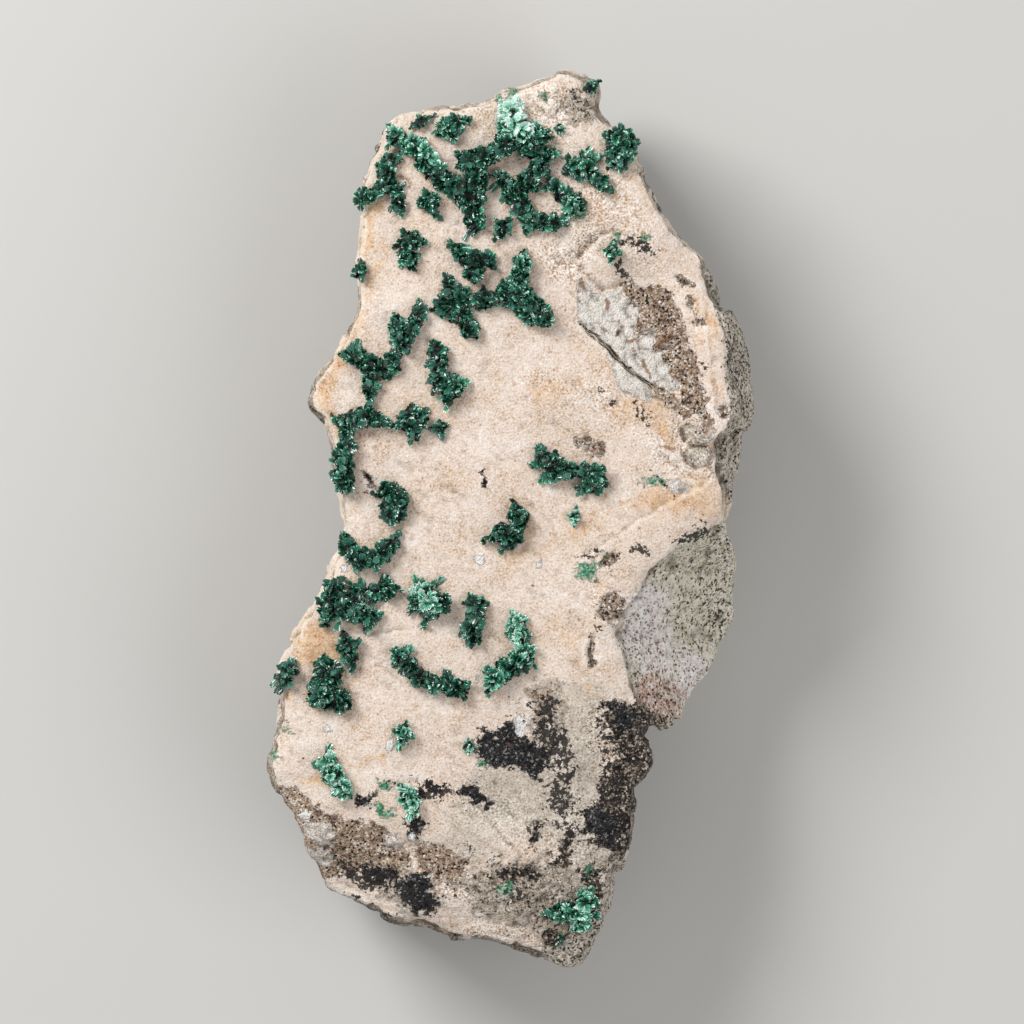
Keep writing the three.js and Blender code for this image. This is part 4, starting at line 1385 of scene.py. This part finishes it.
    def _side_relief(self, places: np.ndarray, facing: np.ndarray) -> np.ndarray:
        """Large and small broken faces on the sides, and shallow hollows in the flat back.

        Args:
            places: The vertices in mm.
            facing: Their normals.

        Returns:
            Distances in mm.
        """
        level, border = facets(places, self.side_face, 23)
        small, small_border = facets(places, self.side_face * 0.38, 29)
        side = self.side_relief * level + 0.32 * small + 0.13 * rough_noise(places, 1.3, 37, 2)
        large_crack, small_crack = self.side_cracks
        cracks = large_crack * (1 - ease(border, 0, 0.12))
        side -= cracks + small_crack * (1 - ease(small_border, 0, 0.15))
        side = np.minimum(side - 0.2, self.side_limit + 0.1 * level)
        side += summed(SWELLS, places[:, :2])
        back = (places[:, 2] < self.rest_height) & (facing[:, 2] < -0.5)
        hollows = np.maximum(rough_noise(places, 12, 41, 3) - 0.05, 0) * 2.2
        return np.where(back, -hollows - 0.1 * np.abs(small), side)

    def _edge_gaps(self, places: np.ndarray, facing: np.ndarray) -> np.ndarray:
        """Distance in mm from each vertex to the nearest one of the broken sides' upper part."""
        edge = (facing[:, 2] < STEEP) & (places[:, 2] > self.edge_least)
        return nearest_gaps(places, places[edge])

    def _keep_masks(
        self,
        mesh: bpy.types.Mesh,
        places: np.ndarray,
        facing: np.ndarray,
        edge_gaps: np.ndarray,
    ) -> None:
        """Keeps on the mesh where each coat and stain lies.

        Args:
            mesh: The finished mesh.
            places: Its vertices before the relief, in mm.
            facing: Their normals before the relief.
            edge_gaps: Their distances from the face's edge before the relief, in mm.
        """
        points = wandered(places, *self.drift, 81)
        loose = wandered(places, *self.loose_drift, 83)
        brow = FACE_HEIGHT - self.brow
        deep = np.maximum(brow - places[:, 2] + 1.5 * smooth_noise(places, 5, 43), 0)
        for coat in COATS:
            depth = np.minimum(coat.depth(points), coat.hold) - deep * coat.fading
            store_values(mesh, coat.name, np.maximum(depth, -MASK_REACH))
        on_face = 7 * (facing[:, 2] - 0.42)
        draped = 2.6 * ease(places[:, 2], 24, 33) * (0.6 + smooth_noise(places, 8, 47))
        patches = 3.4 * rough_noise(places, 13, 53, 3) - 1.6
        clay = np.maximum(np.maximum(on_face, draped - 1.0), patches * (places[:, 2] > 1))
        low_patches = 3.0 * rough_noise(places, 15, 59, 3) - 1.0
        clay = np.maximum(clay, low_patches - 4 * (facing[:, 2] > 0.3))
        store_values(mesh, "clay", np.clip(clay, -MASK_REACH, MASK_REACH))
        away = np.exp(-deep / self.stain_reach)
        side_stain = np.maximum(rough_noise(places, 11, 67, 3), 0) * (1 - away)
        side_specks = 0.5 * np.clip(0.5 + rough_noise(places, 9, 73, 2), 0, 1) * (1 - away)
        ochre = summed(OCHRE, loose) * away + 1.3 * side_stain
        store_values(mesh, "ochre", ochre)
        store_values(mesh, "rust", summed(RUST, places[:, :2]))
        store_values(mesh, "grey_clay_and_shade", summed(GREY_CLAY_AND_SHADE, loose) * away)
        specks = 0.1 + summed(SPECKS, loose) * away + side_specks
        specks -= 0.6 * ease(FACET_BLOOM.depth(loose), -1.5, 1.5)
        store_values(mesh, "specks", np.clip(specks, 0, 1))
        store_values(mesh, "flaky", np.clip(summed(FLAKES, loose), 0, 1))
        self._keep_seam(mesh, points)
        down = 0.35 * (FACE_HEIGHT - 4 - places[:, 2]) + 1.1 * smooth_noise(places, 6, 109)
        rim = np.maximum(edge_gaps, down)
        store_values(mesh, "rim", np.clip(rim, 0, MASK_REACH))
        # The crystals' tan painted shadow, which the clay's stain reads
        store_values(mesh, "crystal_shadow", self._crystal_shadow(places))
        store_values(mesh, "hollow", self._hollows(mesh))

    def _keep_seam(self, mesh: bpy.types.Mesh, points: np.ndarray) -> None:
        """Keeps where the seam lies, and each vertex's place across it and along it.

        Args:
            mesh: The finished mesh.
            points: Its vertices' plan points in mm.
        """
        seam = plan(SEAM)
        store_values(mesh, "seam_side", np.clip(line_side(points, seam), -2, 2))
        course = unit(seam[-1:] - seam[:1])[0]
        passed = (points - seam[0]) @ course
        store_values(mesh, "seam_course", passed)
        share = np.clip(passed / float((seam[-1] - seam[0]) @ course), 0, 1)
        half_width = self.seam_half * np.sin(np.pi * share) ** 0.5
        gap = line_distance(points, seam)
        store_values(mesh, "seam", np.clip(half_width - gap, -2, 2))

    def _crystal_shadow(self, places: np.ndarray) -> np.ndarray:
        """How close each vertex is to the crystals, 1 at their foot, shifted to their lower right:
        a tan painted shadow.
        """
        groups = [node.data for name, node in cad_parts.items() if name != "matrix"]
        feet = np.vstack([vertex_places(mesh) for mesh in groups])
        gaps = nearest_gaps(places, feet + self.dust_shift)
        return np.exp(-((gaps / self.shadow_reach) ** 2))

    def _hollows(self, mesh: bpy.types.Mesh) -> np.ndarray:
        """How far each vertex lies below or above its surroundings: 0 sunk, 0.5 level, 1 proud."""
        places = vertex_places(mesh)
        pairs = vertex_pairs(mesh)
        evened = places
        for _ in range(6):
            evened = neighbour_means(evened, pairs)
        proud = np.sum((places - evened) * vertex_normals(mesh), axis=1)
        return np.clip(0.5 + 0.5 * proud / self.hollow_depth, 0, 1)


@dataclass(frozen=True)
class CrystalFinish:
    """Malachite: copper carbonate grown as small glassy to silky blades.

    It gives the eye a deep bottle green with tips painted brighter as painted light, a painted
    silky sheen on flat faces here and there, and sharp small glints, some of them painted.

    Attributes:
        tones: The colours from the painted shade at the blades' feet to the painted light at their
            palest tips.
        painted_sheen_tone: The greyer green painted on silky flat faces as their sheen.
        roughness: The gloss of a fresh crystal face. The shaded feet of the blades are dull.
        ior: Typical refraction of malachite, the middle of its wide range.
        fibre_size: Width of the fine fibres along a blade, in mm.
        fibre_height: Height of the fibres, in mm.
    """

    tones: tuple[str, ...] = ("#010805", "#06291b", "#15533e", "#2c8b67", "#8cdabb", "#effdf7")
    painted_sheen_tone: str = "#3f7f6c"
    roughness: float = 0.17
    ior: float = 1.8
    # Real fibres are finer than 0.02 mm, and about a pixel is the least that shows
    fibre_size: float = 0.14
    fibre_height: float = 0.02

    def material(self) -> bpy.types.Material:
        """Builds the crystals' material.

        Returns:
            The material that all crystal groups share.
        """
        material, add = empty_material("bladed_malachite")
        spot = add("TexCoord", out="Object")
        tone = add("Attribute", out="Fac", attribute_name="tone")
        silk = add("Attribute", out="Fac", attribute_name="silk")
        cloud = add("TexNoise", {"Vector": spot, "Scale": 1 / (0.6 * MM), "Detail": 2.0})
        swing = add("Math", (cloud, 0.3, -0.15), operation="MULTIPLY_ADD")
        total = add("Math", (tone, swing), operation="ADD")
        colour = add("ValToRGB", (total,), stops=spread_stops(self.tones, 0.0, 1.0))
        # Painted sheen: silky flat faces are given a greyer green
        sheen = {0: silk, 6: colour, 7: linear_colour(self.painted_sheen_tone)}
        colour = add("Mix", sheen, 2, data_type="RGBA")
        gloss = add("MapRange", (tone, 0.04, 0.16, 0.8, self.roughness))
        fibre = {"Vector": spot, "Scale": 1 / (self.fibre_size * MM), "Detail": 1.0}
        height = {"Distance": self.fibre_height * MM, "Height": add("TexNoise", fibre)}
        surface = {
            "Base Color": colour,
            "Roughness": gloss,
            "IOR": self.ior,
            "Specular IOR Level": 0.5,
            "Normal": add("Bump", {"Strength": 0.7, **height}),
        }
        add("OutputMaterial", {"Surface": add("BsdfPrincipled", surface)})
        return material


# Where the crystals are paler than the rest
PALE_CRYSTALS = hazes((
    (504, 104, 514, 122, 15, 1.3), (512, 118, 530, 126, 10, 0.5), (424, 148, 434, 158, 9, 0.6),
    (394, 130, 412, 142, 8, 0.3), (421, 592, 428, 602, 12, 0.75), (441, 129, 461, 126, 9, 0.3),
    (576, 513, 575, 521, 9, 0.6), (469, 746, 470, 747, 9, 0.5), (329, 757, 336, 780, 13, 0.55),
    (340, 786, 350, 796, 9, 0.3), (404, 790, 416, 808, 11, 0.55), (405, 728, 404, 737, 10, 0.35),
    (516, 617, 522, 654, 11, 0.55), (500, 673, 492, 685, 10, 0.35), (587, 898, 577, 926, 12, 0.5),
    (612, 246, 611, 257, 9, 0.4), (520, 256, 522, 268, 9, 0.16), (568, 196, 572, 212, 10, 0.35),
    (466, 372, 462, 386, 6, 0.45), (482, 398, 486, 404, 5, 0.45), (408, 241, 410, 262, 9, 0.1),
    (559, 128, 560, 128, 7, 0.35), (592, 86, 594, 88, 7, 0.2), (560, 912, 552, 916, 8, 0.2),
    (414, 526, 420, 540, 7, 0.45), (574, 164, 592, 160, 8, 0.3), (374, 200, 386, 204, 8, 0.25),
    (366, 475, 368, 482, 6, 0.4), (582, 455, 600, 470, 8, 0.16), (618, 150, 626, 158, 8, 0.2),
))


@dataclass(frozen=True)
class Growth:
    """One way in which blades grow together, each size with its least and its most.

    Attributes:
        share: Share of a group's roots that grow so.
        blades: Number of blades side by side.
        length: Length of the middle blades, in mm.
        width: Width of the blades, in mm, where their spread asks for less.
        spread: Angle between the outermost blades, in degrees.
        roll: How far the blades' common plane is turned on its edge, in degrees.
        stack: Distance between blades that lie on each other, in mm.
    """

    share: float
    blades: tuple[float, float]
    length: tuple[float, float]
    width: tuple[float, float]
    spread: tuple[float, float]
    roll: tuple[float, float]
    stack: tuple[float, float]


GROWTHS = (
    # Fans, like small scalloped petals
    Growth(0.42, (6, 9), (1.05, 1.6), (0.17, 0.24), (50, 95), (-34, 34), (0.0, 0.02)),
    # Long narrow leaves, which show flat, some with a painted silky sheen
    Growth(0.24, (6, 8), (1.5, 2.3), (0.24, 0.33), (26, 48), (-18, 18), (0.0, 0.02)),
    # Sheaves of stacked blades on edge, which show as fine parallel glints
    Growth(0.34, (4, 7), (0.8, 1.2), (0.34, 0.56), (2, 14), (50, 130), (0.13, 0.18)),
)


@dataclass
class CrystalGroup:
    """One group of malachite grown together: rosettes of fanned blades over a core painted dark as
    shade.

    Attributes:
        node: The CAD node that the group stands for.
        seed: The start of its random numbers.
        root_spacing: Least distance between roots, in mm.
        rosette_spacing: Least distance between the middles of rosettes, in mm.
        full_size: Width of a group whose blades have their full length, in mm.
        root_depth: Depth of a root in the core, as a share of its blades' length.
        side_length: Length of the blades on the core's sides, as a share of the others'.
        side_fans: Share of the roots on the core's sides that grow fans, the first growth.
        core_sink: How far the core is sunk to meet the rock, in mm.
        core_shrink: How far the core's sides are drawn in under the blades, in mm.
        core_shade_tone: The core's place in the finish's tones, nearly the darkest, as painted
            shade between the blades.
        tone_middle: The middle of the blades' tones.
        painted_glint_share: Share of the blades painted much brighter, as painted glints.
        painted_sheen_share: Share of the fans and leaves whose flat sides carry a painted silky
            sheen.
    """

    node: str
    seed: int
    root_spacing: float = 0.52
    rosette_spacing: float = 2.5
    full_size: float = 3.4
    root_depth: float = 0.56
    side_length: float = 0.85
    side_fans: float = 0.85
    core_sink: float = 0.4
    core_shrink: float = 0.35
    core_shade_tone: float = 0.04
    tone_middle: float = 0.42
    painted_glint_share: float = 0.09
    painted_sheen_share: float = 0.36

    def build(self, material: bpy.types.Material) -> bpy.types.Object:
        """Builds and dresses the group.

        Args:
            material: The crystals' finish.

        Returns:
            The group, riding on the object's body in place of its CAD node.
        """
        random = np.random.default_rng(self.seed)
        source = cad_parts[self.node].data
        source.calc_loop_triangles()
        corners = np.empty(len(source.loop_triangles) * 3, np.int32)
        source.loop_triangles.foreach_get("vertices", corners)
        core = vertex_places(source)
        triangles = corners.reshape(-1, 3)
        roots, normals = self._roots(core, triangles, random)
        width = float(np.sort(np.ptp(core, axis=0))[1])
        scale = min(max(width / self.full_size, 0.5), 1.0)
        places, faces, tone, silk = self._blades(roots, normals, scale, random)
        sunk = core - self.core_shrink * vertex_normals(source) - (0, 0, self.core_sink)
        rows = triangles.tolist()
        # A triangle's fourth corner is a number past the last vertex, and is dropped here
        for row in (faces + len(core)).tolist():
            rows.append([spot for spot in row if spot < len(core) + len(places)])
        mesh = bpy.data.meshes.new(self.node.replace("malachite", "crystals"))
        mesh.from_pydata((np.vstack([sunk, places]) * MM).tolist(), [], rows)
        mesh.update()
        # Painted shade: the core is nearly black, to darken the gaps between blades
        store_values(mesh, "tone", np.concatenate([np.full(len(core), self.core_shade_tone), tone]))
        store_values(mesh, "silk", np.concatenate([np.zeros(len(core)), silk]))
        group = bpy.data.objects.new(mesh.name, mesh)
        bpy.context.scene.collection.objects.link(group)
        mesh.materials.append(material)
        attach(group, "root")
        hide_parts(self.node)
        return group

    def _roots(
        self, core: np.ndarray, triangles: np.ndarray, random: np.random.Generator
    ) -> tuple[np.ndarray, np.ndarray]:
        """Chooses evenly strewn spots on the core for blades to grow from.

        Args:
            core: The core's vertices in mm.
            triangles: Its triangles.
            random: The group's random numbers.

        Returns:
            The spots in mm and the core's normals there.
        """
        a, b, c = (core[triangles[:, i]] for i in range(3))
        across = np.cross(b - a, c - a)
        areas = np.linalg.norm(across, axis=1) / 2
        normals = unit(across)
        areas = np.where(normals[:, 2] > -0.55, areas, 0)
        tries = int(areas.sum() / self.root_spacing**2 * 6) + 12
        picked = random.choice(len(areas), tries, p=areas / areas.sum())
        share = random.random((tries, 2))
        flip = share.sum(axis=1) > 1
        share[flip] = 1 - share[flip]
        spots = a[picked] + share[:, :1] * (b - a)[picked] + share[:, 1:] * (c - a)[picked]
        kept = self._spaced(spots, self.root_spacing)
        return spots[kept], normals[picked[kept]]

    def _spaced(self, spots: np.ndarray, least: float) -> list[int]:
        """The indices of spots that each lie at least a distance from those kept before."""
        kept: list[int] = []
        for index in range(len(spots)):
            gaps = spots[kept] - spots[index]
            if not kept or np.min(np.sum(gaps**2, axis=1)) > least**2:
                kept.append(index)
        return kept

    def _directions(
        self, roots: np.ndarray, normals: np.ndarray, random: np.random.Generator
    ) -> tuple[np.ndarray, np.ndarray, np.ndarray]:
        """Points the blades away from the middles of rosettes, steep there and flatter outside.

        Args:
            roots: The roots in mm.
            normals: The core's normals there.
            random: The group's random numbers.

        Returns:
            For each root the direction of growth, a level direction across it, and the upper
            side of the plane that both span.
        """
        count = len(roots)
        order = np.argsort(-roots[:, 2] + 0.5 * random.random(count))
        middles = roots[order][self._spaced(roots[order], self.rosette_spacing)]
        gaps = roots[:, None, :2] - middles[None, :, :2]
        nearest = np.argmin(np.sum(gaps**2, axis=2), axis=1)
        offset = gaps[np.arange(count), nearest]
        distance = np.linalg.norm(offset, axis=1)
        level = 0.9 * offset + 0.3 * random.normal(size=(count, 2)) + 0.55 * normals[:, :2]
        away = unit(np.column_stack([level, np.zeros(count)]))
        climb = 62 - 36 * distance - 20 * (normals[:, 2] < STEEP) + 8 * random.normal(size=count)
        climb = np.radians(np.clip(climb, 4, 72))[:, None]
        growth = away * np.cos(climb) + np.array([0, 0, 1]) * np.sin(climb)
        across = unit(np.cross([0, 0, 1], away))
        return growth, across, np.cross(growth, across)

    def _blades(
        self,
        roots: np.ndarray,
        normals: np.ndarray,
        scale: float,
        random: np.random.Generator,
    ) -> tuple[np.ndarray, np.ndarray, np.ndarray, np.ndarray]:
        """Grows ridged blades side by side at each root.

        Args:
            roots: The roots in mm.
            normals: The core's normals there.
            scale: The blades' size, with 1 for full size.
            random: The group's random numbers.

        Returns:
            The blades' vertices in mm, their faces, and each vertex's tone and painted sheen.
        """
        count = len(roots)
        kind = random.choice(len(GROWTHS), count, p=[growth.share for growth in GROWTHS])
        steep = normals[:, 2] < STEEP
        kind = np.where(steep & (random.random(count) < self.side_fans), 0, kind)
        drawn = {}
        for name in ("blades", "length", "width", "spread", "roll", "stack"):
            limits = np.array([getattr(growth, name) for growth in GROWTHS])[kind]
            drawn[name] = limits[:, 0] + random.random(count) * (limits[:, 1] - limits[:, 0])
        drawn["length"] *= np.where(steep, self.side_length, 1)
        numbers = np.rint(drawn["blades"]).astype(int)
        root_of = np.repeat(np.arange(count), numbers)
        rank = np.concatenate([np.arange(n) - (n - 1) / 2 for n in numbers])
        half = (numbers[root_of] - 1) / 2
        total = len(root_of)
        growth, across, upper = self._directions(roots, normals, random)
        roll = np.radians(drawn["roll"])[:, None]
        across, upper = (
            across * np.cos(roll) + upper * np.sin(roll),
            upper * np.cos(roll) - across * np.sin(roll),
        )
        turn = np.radians(drawn["spread"][root_of] / 2) * rank / half
        turn = (turn + 0.03 * random.normal(size=total))[:, None]
        along = growth[root_of] * np.cos(turn) + across[root_of] * np.sin(turn)
        along = unit(along - 0.12 * (rank / half)[:, None] ** 2 * upper[root_of])
        raised = upper[root_of] + 0.12 * random.normal(size=(total, 1)) * across[root_of]
        wide = unit(np.cross(raised, along))
        raised = np.cross(along, wide)
        length = scale * drawn["length"][root_of] * random.uniform(0.92, 1.06, total)
        length *= 1 - 0.28 * (rank / half) ** 2
        step = np.radians(drawn["spread"][root_of]) / (2 * half)
        width = np.maximum(drawn["width"][root_of], length * step)
        width = width * random.uniform(0.85, 1.15, total)
        ridge = np.clip(0.26 * width, 0.045, 0.11)
        base = roots - self.root_depth * scale * drawn["length"][:, None] * normals
        base = base[root_of] + raised * (rank * drawn["stack"][root_of])[:, None]
        base += 0.02 * random.normal(size=(total, 3))
        shoulder = random.uniform(0.84, 0.94, total)
        lean = random.uniform(-0.3, 0.3, total)
        # Reach, side and height of a blade's corners: its narrow foot, then its shoulder
        outline = (
            (0.0, -0.3, 0.0), (0.0, 0.3, 0.0), (0.0, 0.0, 1.0),
            (1.0, -0.5, 0.0), (1.0, 0.5, 0.0), (1.0, 0.0, 1.0),
        )
        rows = []
        for reach, side, height in outline:
            far = along * (reach * shoulder * length)[:, None]
            aside = wide * (side * width)[:, None]
            rows.append(base + far + aside + raised * (height * ridge)[:, None])
        rows.append(base + along * length[:, None] + wide * (lean * width)[:, None])
        places = np.stack(rows, axis=1).reshape(-1, 3)
        missing = 10**9
        pattern = np.array([
            [0, 2, 5, 3], [2, 1, 4, 5], [0, 3, 4, 1],
            [3, 5, 6, missing], [5, 4, 6, missing], [3, 6, 4, missing], [0, 1, 2, missing],
        ])
        faces = (pattern[None] + 7 * np.arange(total)[:, None, None]).reshape(-1, 4)
        pale = summed(PALE_CRYSTALS, roots[:, :2])[root_of]
        mood = random.normal(self.tone_middle, 0.12, count)[root_of]
        mood = mood + random.normal(0, 0.1, total)
        # Painted glints: some blades are given a much brighter tone
        painted_glint = random.random(total) < self.painted_glint_share + 0.3 * pale
        tone = np.clip(mood + 0.8 * pale + 0.5 * painted_glint, 0.08, 1.0)
        # Painted shade at the feet and painted light at the tip: the same corners from dark to
        # bright, and last the tip
        shade_and_tip_light = np.array([0.08, 0.08, 0.12, 0.85, 0.85, 1.0, 1.3])
        shade_and_tip_light = shade_and_tip_light + 0.6 * np.clip(pale, 0, 1)[:, None] * np.maximum(1 - shade_and_tip_light, 0)
        flat = kind != len(GROWTHS) - 1
        # Painted sheen: some fans and leaves get a greyer green on their flat sides
        silk = random.uniform(0.3, 0.8, count) * (random.random(count) < self.painted_sheen_share) * flat
        silk = silk[root_of] * (1 - np.clip(pale, 0, 1))
        return places, faces, (tone[:, None] * shade_and_tip_light).ravel(), np.repeat(silk, 7)


@dataclass
class Studio:
    """The floor, lights and camera.

    Attributes:
        camera_height: Height of the camera above the resting plane, in metres.
        camera_offset: How far the camera stands from the origin in plan, in metres.
        frame_width: Width of the picture at the height of the face, in metres.
        sensor: Width of the camera's sensor, in mm.
        key_power: Power of the main light, in watts.
        fill_power: Power of the fill light, in watts.
        surround: Brightness of the surroundings.
        floor_tone: Colour of the floor.
        floor_half: Half the floor's width, in metres.
        sky_tone: Colour of the surroundings.
    """

    camera_height: float = 2.2
    camera_offset: tuple[float, float] = (0.00015, 0.00105)
    frame_width: float = 0.15326
    sensor: float = 36.0
    key_power: float = 5.8
    fill_power: float = 3.0
    surround: float = 0.42
    floor_tone: str = "#c9c7c3"
    floor_half: float = 6.0
    sky_tone: str = "#f2f3f5"

    def build(self) -> None:
        """Builds all three and makes the camera the scene's own."""
        self._floor()
        self._light("key_light", (-0.44, 0.42, 0.56), 0.34, self.key_power)
        self._light("fill_light", (0.55, -0.3, 0.7), 0.7, self.fill_power)
        world = bpy.data.worlds.new("soft_surround")
        world.use_nodes = True
        background = world.node_tree.nodes["Background"]
        background.inputs["Color"].default_value = linear_colour(self.sky_tone)
        background.inputs["Strength"].default_value = self.surround
        bpy.context.scene.world = world
        bpy.context.scene.view_settings.view_transform = "Standard"
        self._camera()

    def _floor(self) -> None:
        """A wide pale floor of fine matte paper on the resting plane."""
        mesh = bpy.data.meshes.new("floor")
        half = self.floor_half
        corners = [(-half, -half, 0), (half, -half, 0), (half, half, 0), (-half, half, 0)]
        mesh.from_pydata(corners, [], [(0, 1, 2, 3)])
        floor = bpy.data.objects.new("floor", mesh)
        bpy.context.scene.collection.objects.link(floor)
        material, add = empty_material("matte_paper")
        surface = {"Base Color": linear_colour(self.floor_tone), "Roughness": 0.9}
        add("OutputMaterial", {"Surface": add("BsdfPrincipled", surface)})
        mesh.materials.append(material)

    def _light(
        self, name: str, place: tuple[float, float, float], size: float, power: float
    ) -> None:
        """Adds one square light that points at the middle of the slab.

        Args:
            name: The light's name.
            place: Where it stands, in metres.
            size: Its width in metres.
            power: Its power in watts.
        """
        light = bpy.data.lights.new(name, "AREA")
        light.size = size
        light.energy = power
        lamp = bpy.data.objects.new(name, light)
        lamp.location = place
        aim = Vector((0, 0, FACE_HEIGHT * MM)) - Vector(place)
        lamp.rotation_euler = aim.to_track_quat("-Z", "Y").to_euler()
        lamp.visible_camera = False
        bpy.context.scene.collection.objects.link(lamp)

    def _camera(self) -> None:
        """A long lens straight above the slab, with the narrow end at the top of the picture."""
        data = bpy.data.cameras.new("camera")
        data.sensor_width = self.sensor
        distance = self.camera_height - FACE_HEIGHT * MM
        data.lens = self.sensor * distance / self.frame_width
        data.clip_start = 0.1
        data.clip_end = 20
        camera = bpy.data.objects.new("camera", data)
        camera.location = (*self.camera_offset, self.camera_height)
        bpy.context.scene.collection.objects.link(camera)
        bpy.context.scene.camera = camera


def report(piece: bpy.types.Object) -> None:
    """Logs a piece's name and its number of triangles."""
    piece.data.calc_loop_triangles()
    LOG.info("%s: %d triangles", piece.name, len(piece.data.loop_triangles))


def main() -> None:
    """Builds the slab, the crystal groups and the studio."""
    logging.basicConfig(level=logging.INFO, format="%(name)s: %(message)s")
    report(Slab().build(SlabFinish()))
    crystals = CrystalFinish().material()
    names = [name for name in sorted(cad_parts) if name != "matrix"]
    for index, name in enumerate(names):
        report(CrystalGroup(node=name, seed=400 + index).build(crystals))
    Studio().build()


if __name__ == "__main__":
    main()
